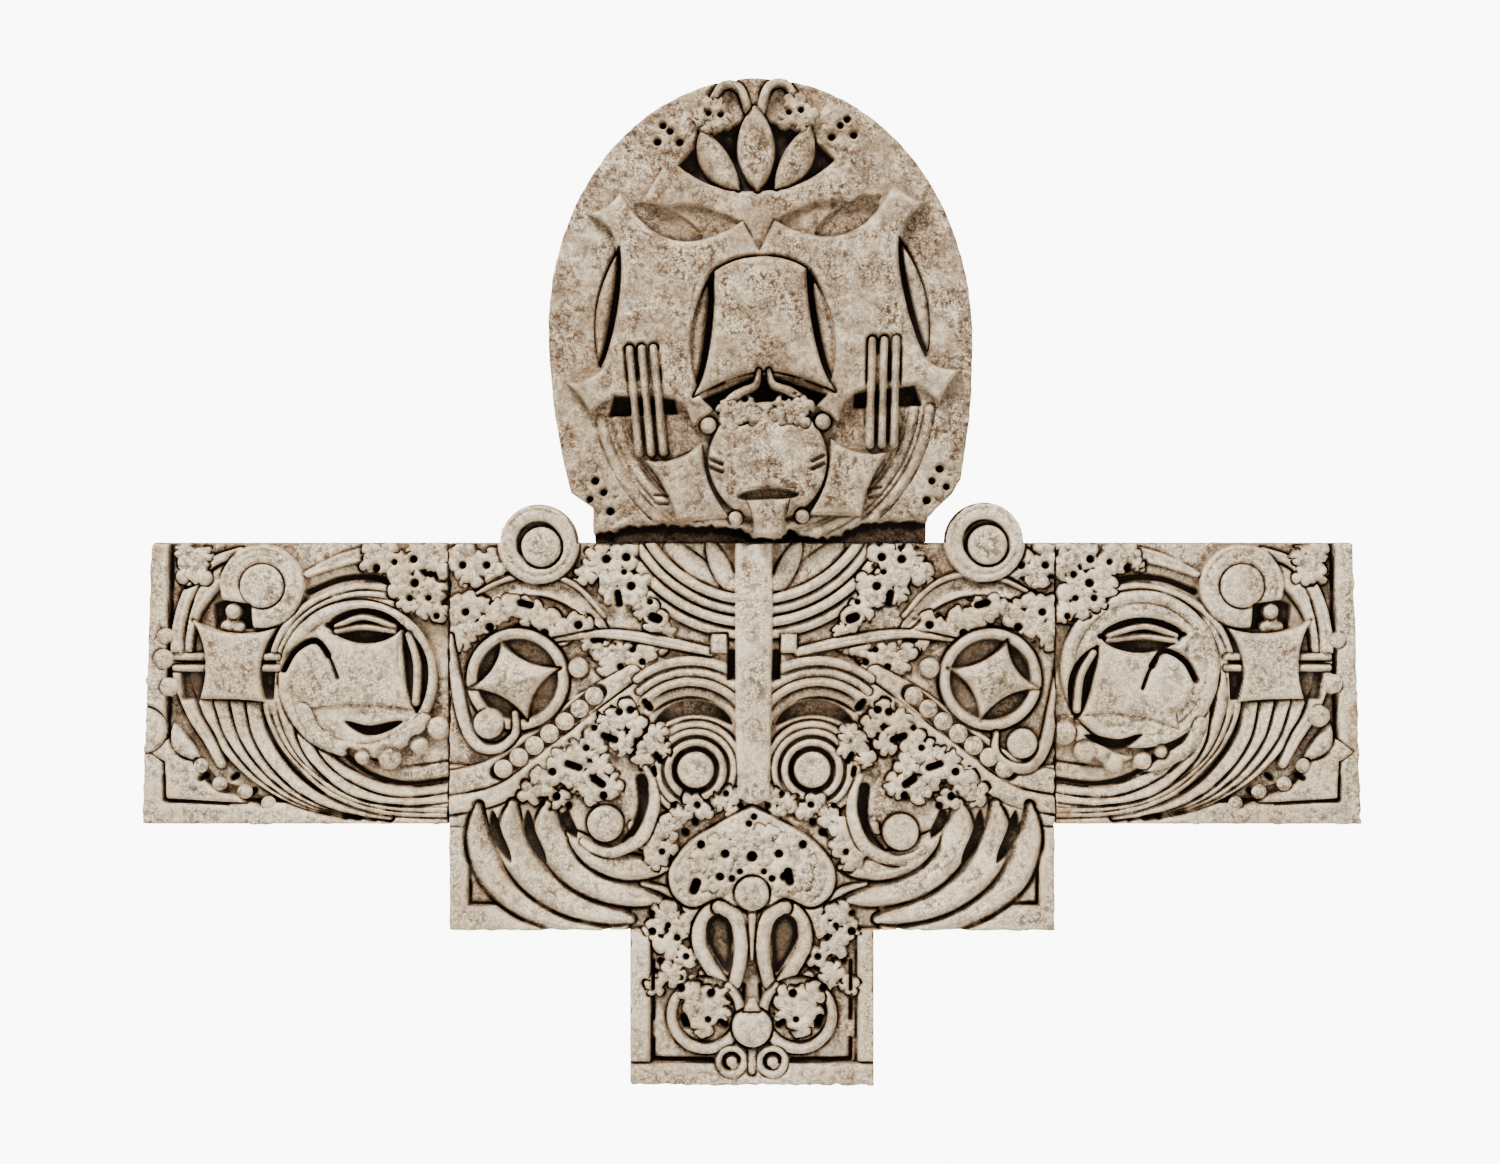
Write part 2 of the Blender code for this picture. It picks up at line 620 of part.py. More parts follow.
def make_head(material):
    """The oval head. Its front shell is broken off along the bottom, and its foot rests on the centre block."""
    seat = CENTRE_HEIGHT / 2 + JOINT
    origin = (HEAD_OFFSET, seat + HEAD_FALL)
    face = Face(origin, (HEAD_WIDTH, HEAD_RISE), HEAD_MINUTES, HEAD_DEPTH, lean=HEAD_LEAN)
    outline = [
        face.place(x / face.minute[0], z / face.minute[1], 0.0).xz for x, z in head_outline()
    ]
    body = bmesh.new()
    prism(body, outline, 0.0, HEAD_DEPTH)
    hollows = bmesh.new()
    reach = HEAD_WIDTH / 2 - OUTER_WALL

    def inside(x, z):
        rise = (z - origin[1]) / (HEAD_RISE - OUTER_WALL)
        return rise < 0 or ((x - origin[0]) / reach) ** 2 + rise**2 < 1

    foot_half = HEAD_WIDTH * 0.395
    columns = spread(origin[0] - foot_half - OUTER_WALL, origin[0] + foot_half + OUTER_WALL, count_even=True)
    cut_cells(hollows, columns, spread(seat, seat + HEAD_FALL + HEAD_RISE), inside)
    spines = carve_head(face)
    for spine, side, half_width in ((spines[0], 1, 19), (spines[1], 1, 14), (spines[1], -1, 14)):
        turned = [(x * side, z) for x, z in spine]
        pods_height = 0.012
        face.pod(turned, half_width, pods_height, blunt=0.6, inlaid=True)
    foot = rectangle(origin[0] - foot_half, seat, origin[0] + foot_half, origin[1])
    joined = bmesh.new()
    prism(joined, foot, -0.0, HEAD_FOOT_DEPTH)
    made = block("head_block", body, hollows, face, material)
    helper = shell_object("head_block_foot", joined)
    modifier = made.modifiers.new("foot", "BOOLEAN")
    modifier.operation = "UNION"
    modifier.solver = "EXACT"
    modifier.object = helper
    made.modifiers.move(len(made.modifiers) - 1, 0)
    return made


def main():
    for old in list(bpy.data.objects):
        bpy.data.objects.remove(old)
    material = terracotta()
    make_centre(material)
    make_wing("left_wing", -1, material)
    make_wing("right_wing", 1, material)
    make_head(material)


main()
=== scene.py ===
"""Looks of a weathered terracotta wall cartouche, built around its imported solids.

Metres, +Z up, carving towards -Y. The carving is set out on one sheet, in minutes of 1.32 mm, x to the right
and y down. Each block's face is a field of heights on that sheet, in millimetres above the block's sunk
ground, which then becomes the front of a closed block with plain sides and a pocketed back.
"""

from __future__ import annotations

import logging
import math
from dataclasses import dataclass, field
from enum import Enum
from typing import Callable, Sequence

import bpy
import numpy as np
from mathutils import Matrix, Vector, geometry

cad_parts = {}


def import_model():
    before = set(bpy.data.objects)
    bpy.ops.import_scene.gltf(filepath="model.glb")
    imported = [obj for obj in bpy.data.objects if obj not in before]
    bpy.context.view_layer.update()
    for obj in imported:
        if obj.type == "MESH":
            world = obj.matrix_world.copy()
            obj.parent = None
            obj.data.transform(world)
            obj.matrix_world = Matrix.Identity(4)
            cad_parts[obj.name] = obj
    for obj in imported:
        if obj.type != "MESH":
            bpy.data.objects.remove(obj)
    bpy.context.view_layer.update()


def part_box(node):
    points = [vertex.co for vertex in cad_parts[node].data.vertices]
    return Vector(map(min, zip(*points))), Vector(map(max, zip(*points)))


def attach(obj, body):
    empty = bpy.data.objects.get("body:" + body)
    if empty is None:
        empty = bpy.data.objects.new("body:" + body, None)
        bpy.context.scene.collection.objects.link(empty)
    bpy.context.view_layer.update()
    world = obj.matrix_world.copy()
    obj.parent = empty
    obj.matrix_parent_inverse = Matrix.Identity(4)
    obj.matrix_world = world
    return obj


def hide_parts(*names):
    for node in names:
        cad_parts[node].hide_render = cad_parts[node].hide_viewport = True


LOG = logging.getLogger("cartouche")

Point = tuple[float, float]
Path = Sequence[Point]
Field = np.ndarray

# The setting-out sheet
MINUTE = 0.00132
SHEET_AXIS = 752.0  # x of the centre line
SHEET_LEVEL = 737.0  # y of the middle of the centre block

# Depths from the wall, in metres
GROUND_DEPTH = 0.074
HEAD_GROUND_DEPTH = 0.082
EAR_BACK = 0.046

# Hollow back
OUTER_WALL = 0.030
WEB = 0.026
POCKET_DEPTH = 0.042
POCKET_PITCH = 0.130
POCKET_DRAFT = 0.002

# Levels of the carving, in millimetres above the sunk ground
PIT = -5.0
GROUND = 0.0
DEEP = 7.0
LOW = 13.0
MIDDLE = 21.0
FLUSH = 27.5
FRAME = 30.0
PROUD = 32.5
HIGH = 35.0

CELL = 0.98  # grid cell in minutes
FACES_PER_BLOCK = 190_000


def ease(value: Field) -> Field:
    """A smooth step from 0 to 1 of a value clipped to that range."""
    share = np.clip(value, 0.0, 1.0)
    return share * share * (3.0 - 2.0 * share)


def spiral(x: float, y: float, radii: Point, start: float, sweep: float, steps: int = 36) -> list[Point]:
    """Points along a spiral whose radius runs evenly between two values.

    Args:
        x: The spiral's centre.
        y: The spiral's centre.
        radii: First and last radius.
        start: First angle in degrees, anticlockwise from the right as seen.
        sweep: Turn in degrees, positive anticlockwise as seen.
        steps: Number of straight stretches.

    Returns:
        The points, both ends included.
    """
    points = []
    for i in range(steps + 1):
        turn = math.radians(start + sweep * i / steps)
        radius = radii[0] + (radii[1] - radii[0]) * i / steps
        points.append((x + radius * math.cos(turn), y - radius * math.sin(turn)))
    return points


def arc(x: float, y: float, radius: float, start: float, end: float, steps: int = 24) -> list[Point]:
    """Points along a circle, from start to end degrees, anticlockwise from the right as seen."""
    return spiral(x, y, (radius, radius), start, end - start, steps)


def smooth(knots: Path, steps: int = 8) -> list[Point]:
    """Points along a smooth curve through the knots."""
    ends = [knots[0], *knots, knots[-1]]
    points: list[Point] = []
    for a, b, c, d in zip(ends, ends[1:], ends[2:], ends[3:]):
        for i in range(steps):
            t = i / steps
            points.append(
                tuple(
                    0.5 * (2 * q + (r - p) * t + (2 * p - 5 * q + 4 * r - s) * t**2)
                    + 0.5 * (3 * q - p - 3 * r + s) * t**3
                    for p, q, r, s in zip(a, b, c, d)
                )
            )
    return [*points, tuple(knots[-1])]


def sagging(corners: Sequence[tuple[float, ...]], steps: int = 10, closed: bool = True) -> list[Point]:
    """An outline through corners (x, y, dent), the dent being how far the next side bows to its right."""
    outline: list[Point] = []
    following = [*corners[1:], corners[0]] if closed else corners[1:]
    for (x0, y0, dent), (x1, y1, _) in zip(corners, following):
        length = math.hypot(x1 - x0, y1 - y0)
        right = (-(y1 - y0) / length, (x1 - x0) / length)
        for i in range(steps if dent else 1):
            share = i / steps
            off = dent * 4 * share * (1 - share)
            outline.append(
                (x0 + (x1 - x0) * share + right[0] * off, y0 + (y1 - y0) * share + right[1] * off)
            )
    if not closed:
        outline.append((corners[-1][0], corners[-1][1]))
    return outline


def between(first: Path, second: Path, share: float) -> list[Point]:
    """The path a share of the way from the first to the second, knot by knot."""
    return [(x0 + (x1 - x0) * share, y0 + (y1 - y0) * share) for (x0, y0), (x1, y1) in zip(first, second)]


def blurred(values: Field, radius: int) -> Field:
    """The field averaged over a soft window, by three box averages each way."""
    result = values.astype(np.float64)
    size = 2 * radius + 1
    for axis in (0, 1):
        for _ in range(3):
            padded = np.pad(
                result, [(radius, radius) if a == axis else (0, 0) for a in (0, 1)], mode="edge"
            )
            total = np.cumsum(np.insert(padded, 0, 0.0, axis=axis), axis=axis)
            if axis == 0:
                result = (total[size:] - total[:-size]) / size
            else:
                result = (total[:, size:] - total[:, :-size]) / size
    return result


def cloud(shape: tuple[int, int], grain: float, seed: int) -> Field:
    """Smooth random values from about -1 to 1, with features about grain cells wide."""
    rng = np.random.default_rng(seed)
    rows, columns = (max(int(n / grain) + 3, 4) for n in shape)
    coarse = rng.standard_normal((rows, columns))
    down = np.linspace(0, rows - 2.001, shape[0])[:, None]
    along = np.linspace(0, columns - 2.001, shape[1])[None, :]
    i, j = down.astype(int), along.astype(int)
    a, b = ease(down - i), ease(along - j)
    top = coarse[i, j] * (1 - b) + coarse[i, j + 1] * b
    foot = coarse[i + 1, j] * (1 - b) + coarse[i + 1, j + 1] * b
    return (top * (1 - a) + foot * a) * 0.8


def inside_outline(x: Field, y: Field, outline: Path) -> Field:
    """Whether each place lies inside a closed outline."""
    inside = np.zeros(np.broadcast(x, y).shape, bool)
    for (x0, y0), (x1, y1) in zip(outline, [*outline[1:], outline[0]]):
        if y0 != y1:
            crosses = (y < y0) != (y < y1)
            inside ^= crosses & (x < x0 + (y - y0) * (x1 - x0) / (y1 - y0))
    return inside


class Profile(Enum):
    """How a band's surface runs from one edge to the other."""

    FLAT = "flat"
    ROUND = "round"
    HOLLOW = "hollow"
    RIDGE = "ridge"
    REEDS = "reeds"
    SLOPE = "slope"


@dataclass
class Window:
    """Part of a carving: where it lies in the grid, and its nodes' places on the sheet."""

    area: tuple[slice, slice]
    x: Field
    y: Field


@dataclass
class Carving:
    """Heights of a carved face on a square grid."""

    low: Point
    high: Point
    level: float = LOW
    height: Field = field(init=False)
    x: Field = field(init=False)
    y: Field = field(init=False)
    fade: Field = field(init=False)  # how far the sunk lines are cut here

    def __post_init__(self) -> None:
        """Lays out the grid at its starting level."""
        columns = round((self.high[0] - self.low[0]) / CELL)
        rows = round((self.high[1] - self.low[1]) / CELL)
        self.x = np.linspace(self.low[0], self.high[0], columns + 1)
        self.y = np.linspace(self.low[1], self.high[1], rows + 1)
        self.height = np.full((rows + 1, columns + 1), float(self.level))
        self.fade = ease(0.62 + 0.75 * cloud(self.height.shape, 15.0, rows))

    def window(self, points: Path, margin: float) -> Window:
        """The part of the grid within a margin of some points."""
        xs, ys = [p[0] for p in points], [p[1] for p in points]
        spans = []
        for nodes, low, high in ((self.y, min(ys), max(ys)), (self.x, min(xs), max(xs))):
            start = int(np.searchsorted(nodes, low - margin))
            stop = int(np.searchsorted(nodes, high + margin, side="right"))
            spans.append(slice(start, max(stop, start)))
        return Window((spans[0], spans[1]), self.x[spans[1]][None, :], self.y[spans[0]][:, None])

    def whole(self) -> Window:
        """The whole grid."""
        return Window((slice(None), slice(None)), self.x[None, :], self.y[:, None])

    def lay(
        self,
        window: Window,
        distance: Field,
        top: Field | float,
        moat: float = 1.7,
        floor: float = DEEP,
        wall: float = 0.9,
    ) -> None:
        """Lays a shape over what is there, with a narrow sunk line round it.

        Args:
            window: The part of the grid the shape lies in.
            distance: Distance from the shape's edge in minutes, negative inside.
            top: Height of its surface.
            moat: Width of the sunk line, or 0 for none.
            floor: Height of the sunk line's bottom.
            wall: Half the width of the slope at the edge.
        """
        piece = self.height[window.area]
        if moat:
            reach = ease(0.5 - (distance - moat * 0.85) / (2 * wall))
            reach = reach * (0.35 + 0.65 * self.fade[window.area])
            piece += (np.minimum(piece, floor) - piece) * reach
        cover = ease(0.5 - distance / (2 * wall))
        piece += (top - piece) * cover

    def sink(self, window: Window, distance: Field, floor: Field | float, wall: float = 0.9) -> None:
        """Sinks what lies inside an edge down to a floor."""
        piece = self.height[window.area]
        cover = ease(0.5 - distance / (2 * wall))
        piece += (np.minimum(piece, floor) - piece) * cover

    def outline_distance(self, window: Window, outline: Path) -> Field:
        """Signed distance from a closed outline, negative inside."""
        best = np.full((window.y.shape[0], window.x.shape[1]), np.inf)
        for (x0, y0), (x1, y1) in zip(outline, [*outline[1:], outline[0]]):
            dx, dy = x1 - x0, y1 - y0
            square = dx * dx + dy * dy
            if square < 1e-12:
                continue
            share = np.clip(((window.x - x0) * dx + (window.y - y0) * dy) / square, 0, 1)
            best = np.minimum(best, (window.x - x0 - share * dx) ** 2 + (window.y - y0 - share * dy) ** 2)
        return np.sqrt(best) * np.where(inside_outline(window.x, window.y, outline), -1.0, 1.0)

    def follow(self, path: Path, reach: float) -> tuple[Window, Field, Field]:
        """Where each node near a path lies along it.

        Args:
            path: The points of the path.
            reach: How far from it nodes are measured.

        Returns:
            The window, each node's distance from the path, positive to its left, and its share of the way.
        """
        window = self.window(path, reach)
        best = np.full((window.y.shape[0], window.x.shape[1]), np.inf)
        offset = np.full(best.shape, 1e3)
        share = np.zeros(best.shape)
        steps = [math.hypot(b[0] - a[0], b[1] - a[1]) for a, b in zip(path, path[1:])]
        total = sum(steps) or 1.0
        gone = 0.0
        row0, column0 = window.area[0].start, window.area[1].start
        for (a, b), step in zip(zip(path, path[1:]), steps):
            if step < 1e-9:
                continue
            near = self.window((a, b), reach)
            rows = slice(near.area[0].start - row0, near.area[0].stop - row0)
            columns = slice(near.area[1].start - column0, near.area[1].stop - column0)
            dx, dy = (b[0] - a[0]) / step, (b[1] - a[1]) / step
            run = np.clip((near.x - a[0]) * dx + (near.y - a[1]) * dy, 0, step)
            px, py = near.x - a[0] - run * dx, near.y - a[1] - run * dy
            square = px * px + py * py
            closer = square < best[rows, columns]
            best[rows, columns] = np.where(closer, square, best[rows, columns])
            signed = np.sqrt(square) * np.where(dy * px - dx * py >= 0, 1.0, -1.0)
            offset[rows, columns] = np.where(closer, signed, offset[rows, columns])
            share[rows, columns] = np.where(closer, (gone + run) / total, share[rows, columns])
            gone += step
        return window, offset, share

    def band(
        self,
        path: Path,
        width: float | Sequence[float],
        top: float | Sequence[float],
        profile: Profile = Profile.ROUND,
        relief: float = 3.0,
        reeds: int = 3,
        moat: float = 1.7,
        floor: float = DEEP,
    ) -> None:
        """A band along a path.

        Args:
            path: The middle line.
            width: Its width, or widths spread evenly along it.
            top: Height of its crest, or heights spread evenly along it.
            profile: How its surface runs across.
            relief: How far the surface falls below the crest.
            reeds: Number of reeds, for that profile.
            moat: Width of the sunk line round it.
            floor: Height of the sunk line's bottom.
        """
        widths = np.atleast_1d(np.asarray(width, float))
        tops = np.atleast_1d(np.asarray(top, float))
        window, offset, share = self.follow(path, widths.max() / 2 + moat + 3.0)
        half = np.interp(share, np.linspace(0, 1, len(widths)), widths) / 2
        crest = np.interp(share, np.linspace(0, 1, len(tops)), tops)
        across = np.clip(offset / np.maximum(half, 0.1), -1.15, 1.15)
        shapes: dict[Profile, Callable[[], Field | float]] = {
            Profile.FLAT: lambda: np.abs(across) ** 6 * 0.5,
            Profile.ROUND: lambda: across**2,
            Profile.HOLLOW: lambda: 1.0 - np.abs(across) ** 2.5,
            Profile.RIDGE: lambda: np.abs(across),
            Profile.REEDS: lambda: 1.0 - np.abs(np.sin(np.pi * reeds * (across + 1) / 2)) ** 0.7,
            Profile.SLOPE: lambda: (across + 1) / 2,
        }
        self.lay(window, np.abs(offset) - half, crest - relief * shapes[profile](), moat, floor)

    def plate(
        self,
        outline: Path,
        top: float,
        drop: float = 1.5,
        reach: float = 5.0,
        moat: float = 1.7,
        floor: float = DEEP,
        bow: float = 0.0,
    ) -> None:
        """A flat plate with softened edges, bowed up or down in the middle by bow."""
        window = self.window(outline, moat + 3.0)
        distance = self.outline_distance(window, outline)
        edge = np.clip(1 + distance / reach, 0, 1)
        self.lay(window, distance, top - drop * edge**2 + bow * ease(-distance / 22.0), moat, floor)

    def recess(self, outline: Path, floor: float, swell: float = 0.0) -> None:
        """A sunk panel, whose floor may swell up in its middle."""
        window = self.window(outline, 3.0)
        distance = self.outline_distance(window, outline)
        self.sink(window, distance, floor + swell * ease(-distance / 12.0))

    def slot(self, spine: Path, half_width: float, floor: float, blunt: float = 0.7) -> None:
        """A sunk hollow along a spine, pointed at both ends."""
        window, offset, share = self.follow(spine, half_width + 3.0)
        half = half_width * np.sin(np.pi * np.clip(share, 0.012, 0.988)) ** blunt
        self.sink(window, np.abs(offset) - half, floor)

    def disc(
        self,
        x: float,
        y: float,
        radius: float,
        top: float,
        dome: float = 1.5,
        moat: float = 1.7,
        floor: float = DEEP,
    ) -> None:
        """A round boss, domed by this many millimetres."""
        window = self.window([(x, y)], radius + moat + 3.0)
        away = np.hypot(window.x - x, window.y - y)
        swell = np.sqrt(np.clip(1 - (away / radius) ** 2, 0, 1))
        self.lay(window, away - radius, top - dome * (1 - swell), moat, floor)

    def ring(
        self,
        x: float,
        y: float,
        outer: float,
        inner: float,
        top: float,
        relief: float = 2.0,
        moat: float = 1.7,
        floor: float = DEEP,
    ) -> None:
        """A rounded ring, with a sunk line inside and outside it."""
        window = self.window([(x, y)], outer + moat + 3.0)
        away = np.hypot(window.x - x, window.y - y)
        middle, half = (outer + inner) / 2, (outer - inner) / 2
        across = np.clip((away - middle) / half, -1.1, 1.1)
        self.lay(window, np.abs(away - middle) - half, top - relief * across**2, moat, floor)

    def pod(
        self,
        spine: Path,
        half_width: float,
        top: float,
        relief: float = 7.0,
        blunt: float = 0.7,
        moat: float = 1.7,
        floor: float = DEEP,
        lean: float = 0.0,
    ) -> None:
        """A swelling pod along a spine, pointed at both ends, its crest moved to one side by lean."""
        window, offset, share = self.follow(spine, half_width + moat + 3.0)
        half = half_width * np.sin(np.pi * np.clip(share, 0.012, 0.988)) ** blunt
        across = np.clip(offset / np.maximum(half, 0.1), -1.1, 1.1)
        rise = np.where(across > lean, (across - lean) / (1 - lean), (lean - across) / (1 + lean))
        self.lay(window, np.abs(offset) - half, top - relief * rise**2, moat, floor)

    def leaf(self, x: float, y: float, size: float, top: float, lobes: int, bite: float) -> None:
        """A small leaf of round lobes about a point, its first lobe upright.

        Args:
            x: The leaf's middle.
            y: The leaf's middle.
            size: How far its lobes reach.
            top: Height of its surface.
            lobes: Number of lobes.
            bite: How far the edge comes in between lobes, as a share of its size.
        """
        window = self.window([(x, y)], size + 4.5)
        angle = np.arctan2(x - window.x, y - window.y)
        away = np.hypot(window.x - x, window.y - y)
        lobe = np.abs(np.cos(lobes * angle / 2))
        edge = size * (1 - bite * (1 - lobe) ** 1.3)
        share = np.clip(away / edge, 0, 1.1)
        surface = top - 4.0 * (1 - lobe) * share - 2.25 * share**4
        vein = np.exp(-((np.sin(lobes * angle / 2) * away / 1.6) ** 2))
        vein *= np.clip(away / size * 2.2 - 0.3, 0, 1)
        self.lay(window, away - edge, surface - 1.6 * vein, moat=1.5)

    def foliage(
        self,
        lobes: Sequence[tuple[float, float, float]],
        eyes: Sequence[tuple[float, ...]] = (),
        top: float = PROUD,
        relief: float = 5.0,
        moat: float = 2.0,
        floor: float = GROUND,
        seed: int = 3,
    ) -> None:
        """A mass of toothed leaf lobes that run into one another.

        Args:
            lobes: Each lobe's middle and radius.
            eyes: Each drilled eye's middle and radius, and where it is a longer one its pull and turn.
            top: Height of its surface.
            relief: How far its edges fall.
            moat: Width of the sunk line round it.
            floor: Height of the sunk line's bottom.
            seed: Seed of its teeth.
        """
        rng = np.random.default_rng(seed)
        largest = max(size for _, _, size in lobes)
        window = self.window([(x, y) for x, y, _ in lobes], largest + moat + 3.0)
        nearest = np.full((window.y.shape[0], window.x.shape[1]), 1e3)
        second, tilt = nearest.copy(), np.zeros(nearest.shape)
        ragged = cloud(nearest.shape, 7.0, seed)
        for x, y, size in lobes:
            teeth, phase = int(rng.integers(3, 6)), rng.uniform(0, math.pi)
            angle = np.arctan2(window.y - y, window.x - x) + 0.4 * ragged
            notch = (1 - np.abs(np.cos(teeth * angle / 2 + phase))) ** 1.8
            away = np.hypot(window.x - x, window.y - y) + 1.3 * ragged
            share = np.clip(away / size, 0, 1)
            inner = away - size * (1.1 - 0.5 * notch)
            closer = inner < nearest
            second = np.where(closer, nearest, np.minimum(second, inner))
            vein = np.exp(-((np.sin(teeth * angle / 2 + phase) * away / 1.5) ** 2))
            vein *= np.clip(2.4 * share - 0.6, 0, 1)
            tilt = np.where(closer, rng.uniform(-3.0, 0.5) - 2.6 * notch * share - 1.3 * vein, tilt)
            nearest = np.where(closer, inner, nearest)
        crease = np.exp(-(((second - nearest) / 1.8) ** 2)) * ease(-nearest / 2.5)
        edge = np.clip(1 + nearest / 6.0, 0, 1)
        surface = top + tilt + 1.5 * ragged - relief * edge**2 * 0.6 - 2.6 * crease
        self.lay(window, nearest, surface, moat, floor)
        for eye in eyes:
            self.eye(*eye)

    def eye(self, x: float, y: float, radius: float = 3.0, pull: float = 0.0, turn: float = 0.0) -> None:
        """A drilled eye: a round hole, or a longer one when pull is above 0, along turn degrees."""
        if pull:
            across, down = pull * math.cos(math.radians(turn)), -pull * math.sin(math.radians(turn))
            window, offset, _ = self.follow([(x - across, y - down), (x + across, y + down)], radius + 3.0)
            distance = np.abs(offset) - radius
        else:
            window = self.window([(x, y)], radius + 3.0)
            distance = np.hypot(window.x - x, window.y - y) - radius
        self.sink(window, distance, PIT)

    def groove(self, path: Path, width: float, depth: float) -> None:
        """A soft groove along a path, sunk into whatever is there."""
        window, offset, share = self.follow(path, width + 2.0)
        fade = ease(np.minimum(share, 1 - share) * 12)
        self.height[window.area] -= depth * fade * np.exp(-((offset / (width / 2)) ** 2))

    def slit(self, path: Path, width: float, floor: float = GROUND) -> None:
        """A narrow dark slot along a path."""
        window, offset, _ = self.follow(path, width + 3.0)
        self.sink(window, np.abs(offset) - width / 2, floor)

    def weather(self, seed: int, depth: float = 0.35) -> None:
        """Wears the surface unevenly and softens every edge a little."""
        self.height = self.height * 0.5 + blurred(self.height, 1) * 0.5
        rough = cloud(self.height.shape, 9.0, seed) + 0.5 * cloud(self.height.shape, 3.5, seed + 1)
        self.height += depth * rough

    def sample(self, values: Field, x: Field, y: Field) -> Field:
        """Values of a field on this grid at any places of the sheet, between its nodes."""
        column = np.clip((x - self.x[0]) / (self.x[1] - self.x[0]), 0, len(self.x) - 1.001)
        row = np.clip((y - self.y[0]) / (self.y[1] - self.y[0]), 0, len(self.y) - 1.001)
        i, j = row.astype(int), column.astype(int)
        a, b = row - i, column - j
        upper = values[i, j] * (1 - b) + values[i, j + 1] * b
        lower = values[i + 1, j] * (1 - b) + values[i + 1, j + 1] * b
        return upper * (1 - a) + lower * a


def boundary_loops(quads: Field) -> list[list[int]]:
    """Closed loops of a sheet's open edges, the longest first, each running the way its faces do."""
    pairs = np.concatenate([quads[:, [k, (k + 1) % 4]] for k in range(4)])
    keys = {(int(a), int(b)) for a, b in pairs}
    following = {a: b for a, b in keys if (b, a) not in keys}
    loops = []
    while following:
        start = next(iter(following))
        loop = [start]
        step = following.pop(start)
        while step != start:
            loop.append(step)
            step = following.pop(step)
        loops.append(loop)
    return sorted(loops, key=len, reverse=True)


def pocket_spans(low: float, high: float, even: bool = False) -> list[Point]:
    """Low and high edge of each pocket across a back, with webs between them."""
    clear = high - low - 2 * OUTER_WALL + WEB
    count = 2 * max(1, round(clear / POCKET_PITCH / 2)) if even else max(1, round(clear / POCKET_PITCH))
    pitch = clear / count
    return [(low + OUTER_WALL + pitch * i, low + OUTER_WALL + pitch * (i + 1) - WEB) for i in range(count)]


